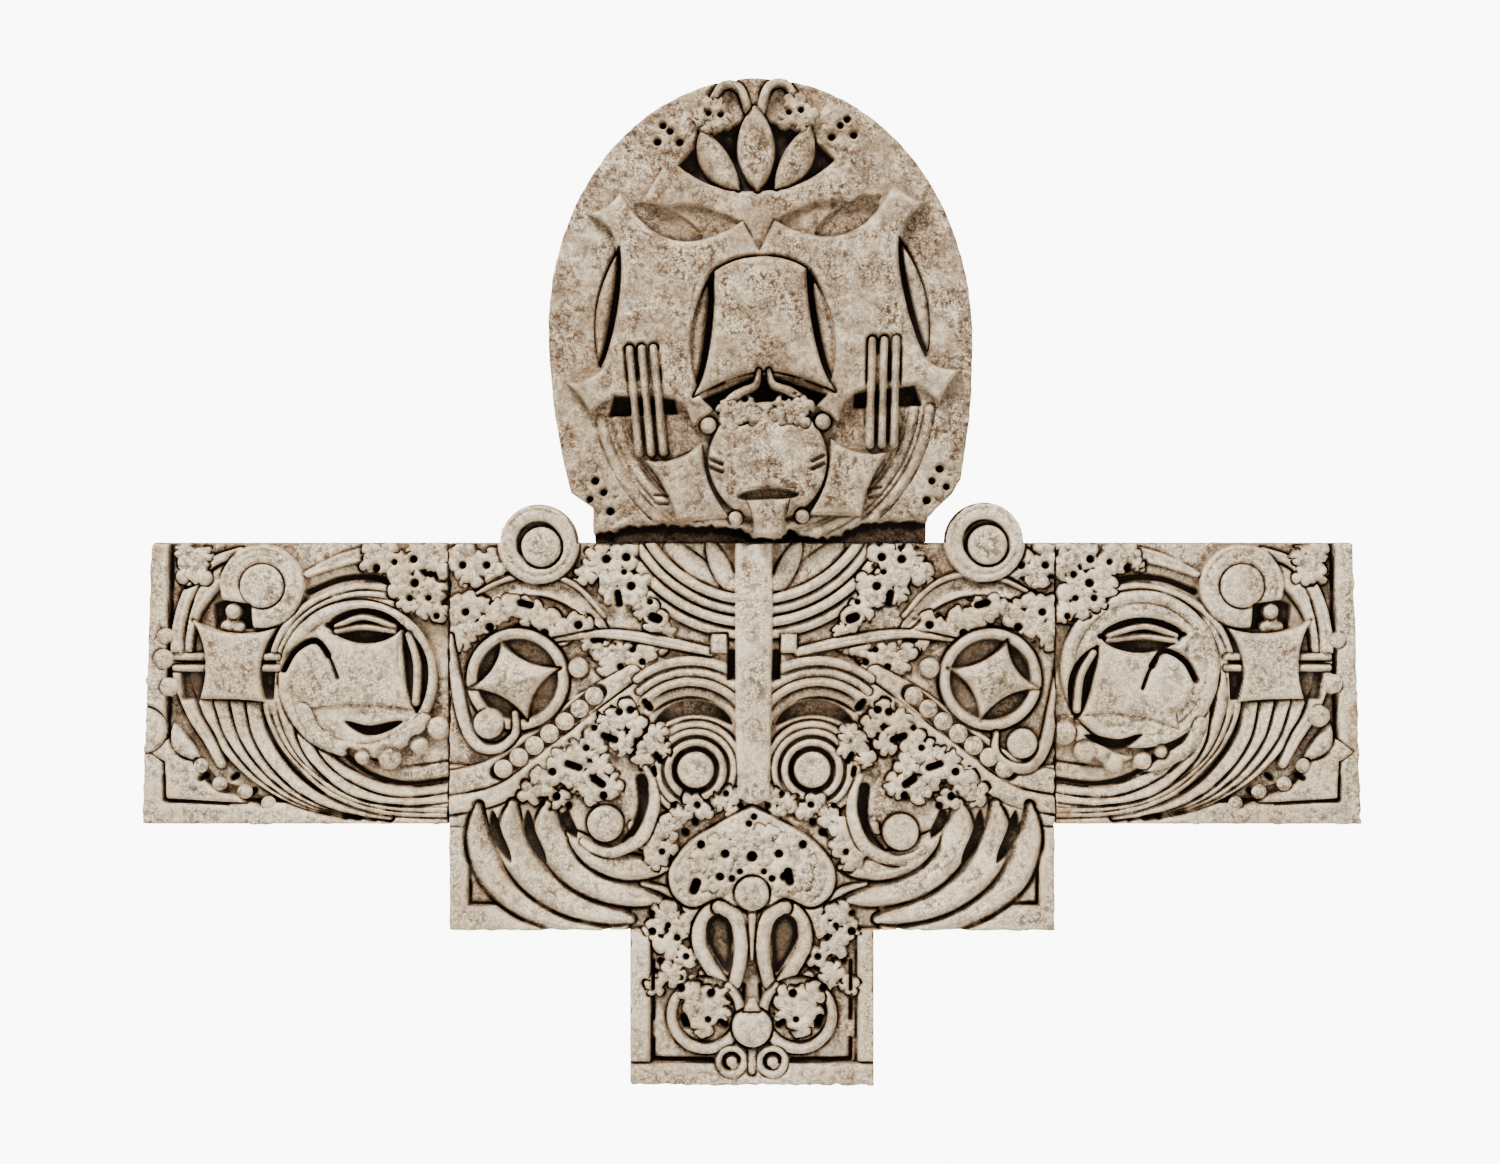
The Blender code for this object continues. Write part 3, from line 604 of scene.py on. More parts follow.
@dataclass
class BlockMesh:
    """Turns a carved face into a closed block with plain sides and a pocketed back."""

    carving: Carving
    outline: list[Point]  # the block's edge on the sheet
    ground_depth: float
    pockets: list[tuple[float, float, float, float]]  # low x, high x, low z, high z in metres
    side: int = 1  # -1 where the sheet is turned over the axis
    ears: list[tuple[Point, Point]] = field(default_factory=list)  # foot of each part that stands off
    wear: float = 1.3
    rebate: float = 0.020
    seed: int = 1

    def metres(self, x: Field, y: Field) -> tuple[Field, Field]:
        """X and Z in metres of places on the sheet."""
        return (x - SHEET_AXIS) * MINUTE * self.side, (SHEET_LEVEL - y) * MINUTE

    def sheet(self, x: Field, z: Field) -> tuple[Field, Field]:
        """Places on the sheet of X and Z in metres."""
        return x * self.side / MINUTE + SHEET_AXIS, SHEET_LEVEL - z / MINUTE

    def front(self) -> tuple[Field, Field, Field]:
        """The carved front.

        Returns:
            Its vertices in metres, its quads, and how far each vertex's edge is worn back, as X and Z.
        """
        carving = self.carving
        true = carving.outline_distance(carving.whole(), self.outline)
        distance = true + self.wear * (1.0 + 0.6 * cloud(true.shape, 7.0, self.seed))
        kept = (distance[1:, 1:] + distance[:-1, 1:] + distance[1:, :-1] + distance[:-1, :-1]) < 0
        around = np.zeros(distance.shape, int)
        for rows in (slice(0, -1), slice(1, None)):
            for columns in (slice(0, -1), slice(1, None)):
                around[rows, columns] += kept
        nodes = around > 0
        number = np.full(nodes.shape, -1)
        number[nodes] = np.arange(nodes.sum())
        x = np.broadcast_to(carving.x[None, :], distance.shape).copy()
        y = np.broadcast_to(carving.y[:, None], distance.shape).copy()
        rim = nodes & (around < 4)
        slope_y, slope_x = np.gradient(true, carving.y[1] - carving.y[0], carving.x[1] - carving.x[0])
        steep = np.maximum(np.hypot(slope_x, slope_y), 0.5)
        away_x, away_y = slope_x / steep, slope_y / steep
        x[rim] -= (distance * away_x)[rim]
        y[rim] -= (distance * away_y)[rim]
        worn = np.where(rim, distance - true, 0.0)
        arris = np.clip(1 + distance / 3.0, 0, 1) ** 2
        depth = self.ground_depth + (carving.height - 1.6 * arris) / 1000
        world_x, world_z = self.metres(x, y)
        back_x, back_z = self.metres(x + away_x * worn, y + away_y * worn)
        vertices = np.stack([world_x, -depth, world_z], axis=-1)[nodes]
        moved = np.stack([back_x - world_x, back_z - world_z], axis=-1)[nodes]
        i, j = np.nonzero(kept)
        quads = np.stack([number[i, j], number[i + 1, j], number[i + 1, j + 1], number[i, j + 1]], axis=1)
        return vertices, quads if self.side > 0 else quads[:, ::-1], moved

    def build(self, name: str) -> bpy.types.Object:
        """Makes the block's mesh object.

        Args:
            name: The object's name.

        Returns:
            The linked object, closed and facing outwards.
        """
        front, quads, moved = self.front()
        loops = boundary_loops(quads)
        faces = quads.tolist() + [hole[::-1] for hole in loops[1:]]
        loop = loops[0]
        size, count = len(loop), len(front)
        ring = front[loop]
        shelf = np.maximum(-ring[:, 1] - self.rebate, 0.016)
        true_ring = ring.copy()
        true_ring[:, 0] += moved[loop, 0]
        true_ring[:, 2] += moved[loop, 1]
        standing = self.stands_off(true_ring)
        back_depth = np.where(standing, EAR_BACK, 0.0)
        rings = []
        for shape, depth in ((ring, shelf), (true_ring, shelf - 0.003), (true_ring, back_depth)):
            level = shape.copy()
            level[:, 1] = -np.maximum(depth, back_depth)
            rings.append(level)
        starts = [count + size * k for k in range(3)]
        count += 3 * size
        twins: dict[int, int] = {}
        extra: list[tuple[float, float, float]] = []
        for k in range(size):
            if standing[k] != standing[(k + 1) % size]:
                at = (k + 1) % size if standing[k] else k
                twins[at] = count + len(extra)
                extra.append((rings[2][at][0], -EAR_BACK, rings[2][at][2]))
        previous = [loop, *[range(start, start + size) for start in starts]]
        for level in range(3):
            upper, lower = previous[level], previous[level + 1]
            for k in range(size):
                ahead = (k + 1) % size
                face = [upper[ahead], upper[k], lower[k], lower[ahead]]
                if level == 2 and (standing[k] or standing[ahead]):
                    face = [upper[ahead], upper[k], twins.get(k, lower[k]), twins.get(ahead, lower[ahead])]
                elif level == 2 and k in twins:
                    face.insert(2, twins[k])
                elif level == 2 and ahead in twins:
                    face.append(twins[ahead])
                faces.append(face)
        faces += self.back(rings[2], starts[2], standing, twins, extra, count)
        vertices = [front, *rings] + ([np.array(extra)] if extra else [])
        mesh = bpy.data.meshes.new(name)
        mesh.from_pydata(np.concatenate(vertices).tolist(), [], faces)
        mesh.validate()
        block = bpy.data.objects.new(name, mesh)
        bpy.context.scene.collection.objects.link(block)
        return block

    def stands_off(self, ring: Field) -> Field:
        """Which points of the edge belong to a part that stands off the wall."""
        standing = np.zeros(len(ring), bool)
        x, y = self.sheet(ring[:, 0], ring[:, 2])
        for (x0, y0), (x1, _) in self.ears:
            standing |= (y < y0 - 0.8) & (x > x0 - 12) & (x < x1 + 12)
        return standing

    def back(
        self,
        ring: Field,
        start: int,
        standing: Field,
        twins: dict[int, int],
        extra: list[tuple[float, float, float]],
        count: int,
    ) -> list[list[int]]:
        """Fills the back, with its pockets and the set-off backs of the ears.

        Args:
            ring: Points of the back's edge.
            start: Number of its first vertex.
            standing: Which of them stand off the wall.
            twins: Vertices that stand off the wall at the foot of each ear, by their place in the ring.
            extra: Further vertices, which grow here.
            count: Number of the first further vertex.

        Returns:
            The faces.
        """
        points = [Vector((p[0], p[2])) for p in ring]
        numbers = [start + k for k in range(len(ring))]
        edges = [(k, (k + 1) % len(ring)) for k in range(len(ring))]
        ends = sorted(twins)
        if ends and not standing[(ends[0] + 1) % len(ring)]:
            ends = [*ends[1:], ends[0]]
        feet = list(zip(ends[::2], ends[1::2]))
        edges += feet
        mouths = []
        for low_x, high_x, low_z, high_z in self.pockets:
            base = len(points)
            square = [(low_x, low_z), (high_x, low_z), (high_x, high_z), (low_x, high_z)]
            points += [Vector(p) for p in square]
            mouth = [count + len(extra) + k for k in range(4)]
            extra += [(px, 0.0, pz) for px, pz in square]
            numbers += mouth
            edges += [(base + k, base + (k + 1) % 4) for k in range(4)]
            mouths.append(mouth)
        made, _, triangles, original = geometry.delaunay_2d_cdt(points, edges, [], 1, 1e-7)[:4]
        middles = np.array([[sum(made[k][a] for k in t) / len(t) for a in (0, 1)] for t in triangles])
        within = inside_outline(middles[:, 0], middles[:, 1], [(p[0], p[2]) for p in ring])
        for place, origin in zip(made, original):
            if not origin:
                origin.append(len(numbers))
                numbers.append(count + len(extra))
                extra.append((place[0], 0.0, place[1]))
        faces: list[list[int]] = []
        for face, (px, pz), inside in zip(triangles, middles, within):
            if not inside or any(a < px < b and c < pz < d for a, b, c, d in self.pockets):
                continue
            sides = zip(face, [*face[1:], face[0]])
            area = sum(made[a][0] * made[b][1] - made[b][0] * made[a][1] for a, b in sides)
            keys = [original[k][0] for k in (face if area < 0 else face[::-1])]
            on_ear = any(k < len(ring) and standing[k] for k in keys)
            faces.append([twins.get(k, numbers[k]) if on_ear else numbers[k] for k in keys])
        for first, last in feet:
            faces.append([numbers[first], numbers[last], twins[last], twins[first]])
        for mouth, (low_x, high_x, low_z, high_z) in zip(mouths, self.pockets):
            floor = [count + len(extra) + k for k in range(4)]
            left, right = low_x + POCKET_DRAFT, high_x - POCKET_DRAFT
            foot, top = low_z + POCKET_DRAFT, high_z - POCKET_DRAFT
            square = [(left, foot), (right, foot), (right, top), (left, top)]
            extra += [(px, -POCKET_DEPTH, pz) for px, pz in square]
            faces += [[mouth[(k + 1) % 4], floor[(k + 1) % 4], floor[k], mouth[k]] for k in range(4)]
            faces.append(floor[::-1])
        return faces


@dataclass(frozen=True)
class Patch:
    """A patch of ochre on the sheet: its middle, its half sizes and its strength."""

    x: float
    y: float
    across: float
    down: float
    strength: float = 1.0


@dataclass
class WeatheringAndShade:
    """Painted shade with some grime in recesses, worn crests and ochre of a block, as fields on its sheet,
    which become vertex attributes.
    """

    carving: Carving
    patches: Sequence[Patch] = ()
    seed: int = 5
    tone: float = 0.0  # stain all over

    def fields(self) -> dict[str, Field]:
        """The fields by attribute name, each from 0 to 1."""
        height = self.carving.height
        # How far each place lies below its surroundings at three widths: recesses are darkened by it as
        # painted shade, with some grime.
        narrow = ease((blurred(height, 2) - height) / 6.0)
        wide = ease((blurred(height, 6) - height) / 12.0)
        broad = ease((blurred(height, 16) - height) / 18.0)
        crest = ease((height - blurred(height, 3)) / 3.0)
        ochre = np.zeros(height.shape)
        rough = cloud(height.shape, 12.0, self.seed) + 0.5 * cloud(height.shape, 5.0, self.seed + 1)
        x, y = self.carving.x[None, :], self.carving.y[:, None]
        for patch in self.patches:
            away = np.hypot((x - patch.x) / patch.across, (y - patch.y) / patch.down)
            ochre = np.maximum(ochre, patch.strength * ease(1.3 - away + 0.35 * rough))
        return {
            # The first mask drives painted shadow with soot in the deepest recesses; hollow drives painted
            # shade with stain in wider hollows, and tone adds stain all over.
            "grime": np.clip(0.16 * narrow + 0.60 * wide + 0.42 * broad, 0, 1),
            "hollow": np.clip(0.5 * narrow + 0.95 * wide + 0.95 * broad + self.tone + 0.15 * rough, 0, 1),
            "crest": crest,
            "ochre": ochre,
        }

    def dress(self, block: bpy.types.Object, mesher: BlockMesh) -> None:
        """Stores the fields on the block's front, and an even share of painted shade with grime on its sides
        and back.
        """
        mesh = block.data
        places = np.zeros(len(mesh.vertices) * 3)
        mesh.vertices.foreach_get("co", places)
        places = places.reshape(-1, 3)
        x, y = mesher.sheet(places[:, 0], places[:, 2])
        depth = -places[:, 1] - mesher.ground_depth
        expected = self.carving.sample(self.carving.height, x, y) / 1000
        on_front = depth > expected - 0.012
        for name, values in self.fields().items():
            found = self.carving.sample(values, x, y)
            # Sides and back get a fixed share of painted shade with grime.
            elsewhere = {"grime": 0.35, "hollow": 0.3}.get(name, 0.0)
            attribute = mesh.attributes.new(name, "FLOAT", "POINT")
            attribute.data.foreach_set("value", np.where(on_front, found, elsewhere).astype(np.float32))


@dataclass(frozen=True)
class Socket:
    """One input or output of a node group."""

    name: str
    kind: str


@dataclass
class GroupMaker:
    """Builds node trees, with short calls for nodes and links."""

    tree: bpy.types.NodeTree
    count: int = 0

    @classmethod
    def new(
        cls, name: str, inputs: Sequence[Socket], outputs: Sequence[Socket], kind: str = "ShaderNodeTree"
    ) -> GroupMaker:
        """Starts an empty group with the given sockets."""
        tree = bpy.data.node_groups.new(name, kind)
        for direction, sockets in (("INPUT", inputs), ("OUTPUT", outputs)):
            for socket in sockets:
                tree.interface.new_socket(socket.name, in_out=direction, socket_type=socket.kind)
        tree.nodes.new("NodeGroupInput")
        tree.nodes.new("NodeGroupOutput")
        return cls(tree)

    def given(self, name: str) -> bpy.types.NodeSocket:
        """An input of the group."""
        return next(n for n in self.tree.nodes if n.bl_idname == "NodeGroupInput").outputs[name]

    def give(self, name: str, source: bpy.types.NodeSocket) -> None:
        """Links a source to an output of the group."""
        end = next(n for n in self.tree.nodes if n.bl_idname == "NodeGroupOutput")
        self.tree.links.new(source, end.inputs[name])

    def node(
        self, kind: str, links: dict[str | int, object] | None = None, **settings: object
    ) -> bpy.types.Node:
        """A node with its settings, and its inputs linked or set."""
        made = self.tree.nodes.new(kind)
        self.count += 1
        made.location = (180 * (self.count % 12), -220 * (self.count // 12))
        for key, value in settings.items():
            setattr(made, key, value)
        for key, value in (links or {}).items():
            if isinstance(value, bpy.types.NodeSocket):
                self.tree.links.new(value, made.inputs[key])
            else:
                made.inputs[key].default_value = value
        return made

    def maths(self, operation: str, *values: object, clamp: bool = False) -> bpy.types.NodeSocket:
        """The result of a sum on numbers or sockets."""
        made = self.node("ShaderNodeMath", dict(enumerate(values)), operation=operation, use_clamp=clamp)
        return made.outputs[0]

    def noise(
        self, vector: bpy.types.NodeSocket, scale: float, detail: float = 2.0, roughness: float = 0.5
    ) -> bpy.types.NodeSocket:
        """Noise at a scale per metre."""
        links = {"Vector": vector, "Scale": scale, "Detail": detail, "Roughness": roughness}
        return self.node("ShaderNodeTexNoise", links, noise_dimensions="3D").outputs["Fac"]

    def steps(self, source: bpy.types.NodeSocket, low: float, high: float) -> bpy.types.NodeSocket:
        """A smooth step of the source from low to high, clipped to 0 and 1."""
        links = {"Value": source, "From Min": low, "From Max": high, "To Min": 0.0, "To Max": 1.0}
        made = self.node("ShaderNodeMapRange", links, interpolation_type="SMOOTHSTEP", clamp=True)
        return made.outputs["Result"]

    def mix(self, share: object, first: object, second: object) -> bpy.types.NodeSocket:
        """Two colours mixed."""
        links = {0: share, 6: first, 7: second}
        made = self.node("ShaderNodeMix", links, data_type="RGBA", clamp_factor=True)
        return made.outputs[2]


def colour(red: float, green: float, blue: float) -> tuple[float, float, float, float]:
    """A linear colour from 0 to 255 values as seen on a screen."""
    linear = []
    for value in (red, green, blue):
        share = value / 255
        linear.append(share / 12.92 if share <= 0.04045 else ((share + 0.055) / 1.055) ** 2.4)
    return (linear[0], linear[1], linear[2], 1.0)


@dataclass(frozen=True)
class WeatheredTerracottaAndShade:
    """Pale fired clay with dark specks, brown stain with painted shade in its hollows, and soot with painted
    shadow in its crevices.
    """

    body: tuple[float, float, float, float] = colour(247, 227, 194)
    warm: tuple[float, float, float, float] = colour(208, 184, 148)
    speck: tuple[float, float, float, float] = colour(78, 56, 36)
    # Brown of stain on upward faces, and of painted shade with stain in hollows.
    stain_and_shade: tuple[float, float, float, float] = colour(112, 84, 54)
    # Near black of painted shadow with some soot in the deepest crevices.
    soot_and_shadow: tuple[float, float, float, float] = colour(36, 26, 17)
    ochre: tuple[float, float, float, float] = colour(196, 142, 84)

    def speckle(self) -> bpy.types.NodeTree:
        """The group of dark specks and small pits."""
        maker = GroupMaker.new(
            "clay speckle",
            [Socket("Position", "NodeSocketVector")],
            [Socket("Specks", "NodeSocketFloat"), Socket("Pits", "NodeSocketFloat")],
        )
        place = maker.given("Position")
        fine = maker.steps(maker.noise(place, 300.0, 3.0, 0.70), 0.46, 0.54)
        coarse = maker.steps(maker.noise(place, 125.0, 4.0, 0.72), 0.50, 0.57)
        crowd = maker.steps(maker.noise(place, 20.0, 3.0, 0.6), 0.30, 0.60)
        both = maker.maths("MAXIMUM", maker.maths("MULTIPLY", fine, 0.75), coarse)
        share = maker.maths("MULTIPLY", both, maker.maths("MULTIPLY_ADD", crowd, 0.5, 0.5), clamp=True)
        maker.give("Specks", share)
        cells = maker.node("ShaderNodeTexVoronoi", {"Vector": place, "Scale": 240.0}, feature="F1")
        pits = maker.steps(cells.outputs["Distance"], 0.34, 0.12)
        maker.give("Pits", maker.maths("MULTIPLY", pits, maker.steps(crowd, 0.2, 0.8)))
        return maker.tree

    def dirt_and_shade(self) -> bpy.types.NodeTree:
        """The group of painted shade with stain in hollows, and painted shadow with soot in crevices."""
        maker = GroupMaker.new(
            "crevice dirt",
            [
                Socket("Position", "NodeSocketVector"),
                Socket("Grime", "NodeSocketFloat"),
                Socket("Hollow", "NodeSocketFloat"),
            ],
            [Socket("Stain", "NodeSocketFloat"), Socket("Soot", "NodeSocketFloat")],
        )
        place = maker.given("Position")
        patch = maker.noise(place, 38.0, 4.0, 0.6)
        grain = maker.noise(place, 260.0, 2.0, 0.6)
        grime = maker.maths("ADD", maker.given("Grime"), maker.maths("MULTIPLY_ADD", grain, 0.35, -0.175))
        # The deepest recesses get painted shadow with some soot.
        maker.give("Soot", maker.steps(grime, 0.42, 1.0))
        drift = maker.maths("MULTIPLY_ADD", patch, 0.9, -0.45)
        hollow = maker.maths("ADD", maker.given("Hollow"), drift)
        hollow = maker.maths("ADD", hollow, maker.maths("MULTIPLY", grime, 0.5))
        # Hollows get painted shade with some stain, varied by patchy noise.
        maker.give("Stain", maker.steps(hollow, -0.08, 0.72))
        return maker.tree

    def make(self) -> bpy.types.Material:
        """Builds the material."""
        material = bpy.data.materials.new("weathered terracotta")
        material.use_nodes = True
        tree = material.node_tree
        maker = GroupMaker(tree, 2)
        shader = tree.nodes["Principled BSDF"]
        place = maker.node("ShaderNodeTexCoord").outputs["Object"]
        known = {
            name: maker.node(
                "ShaderNodeAttribute", attribute_name=name, attribute_type="GEOMETRY"
            ).outputs["Fac"]
            for name in ("grime", "hollow", "crest", "ochre")
        }
        speckle = maker.node("ShaderNodeGroup", node_tree=self.speckle())
        tree.links.new(place, speckle.inputs["Position"])
        dirt_and_shade = maker.node("ShaderNodeGroup", node_tree=self.dirt_and_shade())
        for name, source in (("Position", place), ("Grime", known["grime"]), ("Hollow", known["hollow"])):
            tree.links.new(source, dirt_and_shade.inputs[name])
        drift = maker.steps(maker.noise(place, 7.0, 4.0, 0.6), 0.38, 0.66)
        base = maker.mix(maker.maths("MULTIPLY", drift, 0.7), self.body, self.warm)
        broken = maker.steps(maker.noise(place, 90.0, 3.0, 0.6), 0.3, 0.6)
        ochre = maker.maths("MULTIPLY", known["ochre"], broken)
        base = maker.mix(maker.maths("MULTIPLY", ochre, 0.75), base, self.ochre)
        facing = maker.node("ShaderNodeNewGeometry").outputs["Normal"]
        upward = maker.node("ShaderNodeSeparateXYZ", {"Vector": facing}).outputs["Z"]
        settled = maker.steps(maker.noise(place, 60.0, 3.0), 0.3, 0.7)
        ledge = maker.maths("MULTIPLY", maker.steps(upward, 0.25, 0.95), settled)
        base = maker.mix(maker.maths("MULTIPLY", ledge, 0.6), base, self.stain_and_shade)
        # Painted shade with some stain in hollows.
        base = maker.mix(maker.maths("MULTIPLY", dirt_and_shade.outputs["Stain"], 0.75), base, self.stain_and_shade)
        worn = maker.maths("MULTIPLY_ADD", known["crest"], -0.30, 0.84)
        # Fewer specks on worn crests, and more where the hollow mask is high, which darkens hollows further
        # as part of their painted shade.
        worn = maker.maths("MULTIPLY_ADD", known["hollow"], 0.4, worn, clamp=True)
        base = maker.mix(maker.maths("MULTIPLY", speckle.outputs["Specks"], worn), base, self.speck)
        # Painted shadow with some soot in the deepest crevices.
        base = maker.mix(dirt_and_shade.outputs["Soot"], base, self.soot_and_shadow)
        tree.links.new(base, shader.inputs["Base Color"])
        rough = maker.maths("MULTIPLY_ADD", speckle.outputs["Specks"], 0.12, 0.80)
        tree.links.new(rough, shader.inputs["Roughness"])
        shader.inputs["Specular IOR Level"].default_value = 0.25
        shader.inputs["Metallic"].default_value = 0.0
        grain = maker.noise(place, 620.0, 3.0, 0.65)
        swell = maker.noise(place, 110.0, 3.0, 0.55)
        pits = maker.maths("MULTIPLY", speckle.outputs["Pits"], -0.8)
        surface = maker.maths("MULTIPLY_ADD", grain, 0.5, pits)
        surface = maker.maths("ADD", surface, maker.maths("MULTIPLY", swell, 1.1))
        surface = maker.maths("MULTIPLY_ADD", speckle.outputs["Specks"], -0.35, surface)
        bump = maker.node("ShaderNodeBump", {"Height": surface, "Strength": 0.6, "Distance": 0.0011})
        tree.links.new(bump.outputs["Normal"], shader.inputs["Normal"])
        return material


def finish_mesh(
    block: bpy.types.Object, material: bpy.types.Material, faces: int = FACES_PER_BLOCK
) -> None:
    """Thins a mesh to a number of triangles where it has more, and gives it smooth faces and its material."""
    mesh = block.data
    mesh.calc_loop_triangles()
    if len(mesh.loop_triangles) > faces:
        thin = block.modifiers.new("thin", "DECIMATE")
        thin.ratio = faces / len(mesh.loop_triangles)
        thin.use_collapse_triangulate = True
        bpy.context.view_layer.update()
        thinned = bpy.data.meshes.new_from_object(
            block.evaluated_get(bpy.context.evaluated_depsgraph_get())
        )
        block.modifiers.remove(thin)
        block.data = thinned
        bpy.data.meshes.remove(mesh)
        mesh = thinned
        mesh.name = block.name
    mesh.polygons.foreach_set("use_smooth", np.ones(len(mesh.polygons), bool))
    mesh.set_sharp_from_angle(angle=math.radians(62))
    mesh.materials.clear()
    mesh.materials.append(material)


def settle(
    mesher: BlockMesh, node: str, patches: Sequence[Patch], material: bpy.types.Material, tone: float = 0.0
) -> bpy.types.Object:
    """Builds a block, gives it its weathering and painted shade, and sets it in place of its solid."""
    block = mesher.build(f"{node}_carved")
    finish_mesh(block, material)
    WeatheringAndShade(mesher.carving, patches, mesher.seed, tone).dress(block, mesher)
    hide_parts(node)
    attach(block, "root")
    return block


@dataclass(frozen=True)
class BeadRow:
    """A row of coins or beads along a path, made by a node tree and set into a block's face."""

    name: str
    path: list[Point]  # on the sheet
    count: int
    radius: float  # in minutes
    crest: float  # height of the beads' crests above the ground, in millimetres
    thickness: float  # half the thickness of a bead, in millimetres
    side: int = 1  # -1 where the sheet is turned over the axis
    unevenness: float = 0.06

    def tree(self, material: bpy.types.Material) -> tuple[bpy.types.NodeTree, dict[str, str]]:
        """The node tree that sets beads along a path.

        Args:
            material: The beads' finish.

        Returns:
            The tree, and the identifier of each of its inputs by name.
        """
        maker = GroupMaker.new(
            f"{self.name} row",
            [
                Socket("Path", "NodeSocketGeometry"),
                Socket("Count", "NodeSocketInt"),
                Socket("Radius", "NodeSocketFloat"),
                Socket("Thickness", "NodeSocketFloat"),
                Socket("Unevenness", "NodeSocketFloat"),
            ],
            [Socket("Beads", "NodeSocketGeometry")],
            "GeometryNodeTree",
        )
        curve = maker.node("GeometryNodeMeshToCurve", {"Mesh": maker.given("Path")})
        links = {"Curve": curve.outputs["Curve"], "Count": maker.given("Count")}
        spread = maker.node("GeometryNodeResampleCurve", links)
        bead = maker.node("GeometryNodeMeshUVSphere", {"Segments": 24, "Rings": 14, "Radius": 1.0})
        radius, thickness = maker.given("Radius"), maker.given("Thickness")
        sizes = maker.node("ShaderNodeCombineXYZ", {"X": radius, "Y": thickness, "Z": radius})
        least = maker.maths("SUBTRACT", 1.0, maker.given("Unevenness"))
        vary = maker.node("FunctionNodeRandomValue", {"Min": least, "Seed": 7}, data_type="FLOAT_VECTOR")
        links = {0: sizes.outputs["Vector"], 1: vary.outputs["Value"]}
        scaled = maker.node("ShaderNodeVectorMath", links, operation="MULTIPLY")
        links = {"Points": spread.outputs["Curve"], "Instance": bead.outputs["Mesh"]}
        links["Scale"] = scaled.outputs["Vector"]
        place = maker.node("GeometryNodeInstanceOnPoints", links)
        real = maker.node("GeometryNodeRealizeInstances", {"Geometry": place.outputs["Instances"]})
        smoothed = maker.node("GeometryNodeSetShadeSmooth", {"Geometry": real.outputs["Geometry"]})
        links = {"Geometry": smoothed.outputs["Geometry"], "Material": material}
        maker.give("Beads", maker.node("GeometryNodeSetMaterial", links).outputs["Geometry"])
        names = {item.name: item.identifier for item in maker.tree.interface.items_tree}
        return maker.tree, names

    def build(self, material: bpy.types.Material) -> bpy.types.Object:
        """Makes the row as one plain mesh.

        Args:
            material: The beads' finish.

        Returns:
            The row.
        """
        depth = GROUND_DEPTH + (self.crest - self.thickness) / 1000
        places = [
            ((x - SHEET_AXIS) * MINUTE * self.side, -depth, (SHEET_LEVEL - y) * MINUTE)
            for x, y in self.path
        ]
        path = bpy.data.meshes.new(f"{self.name} path")
        path.from_pydata(places, [(i, i + 1) for i in range(len(places) - 1)], [])
        row = bpy.data.objects.new(self.name, path)
        bpy.context.scene.collection.objects.link(row)
        maker = row.modifiers.new("beads", "NODES")
        maker.node_group, names = self.tree(material)
        values = {"Count": self.count, "Radius": self.radius * MINUTE, "Thickness": self.thickness / 1000}
        values["Unevenness"] = self.unevenness
        for name, value in values.items():
            maker[names[name]] = value
        bpy.context.view_layer.update()
        made = bpy.data.meshes.new_from_object(row.evaluated_get(bpy.context.evaluated_depsgraph_get()))
        row.modifiers.remove(maker)
        row.data = made
        made.name = self.name
        bpy.data.meshes.remove(path)
        made.materials.clear()
        made.materials.append(material)
        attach(row, "root")
        return row


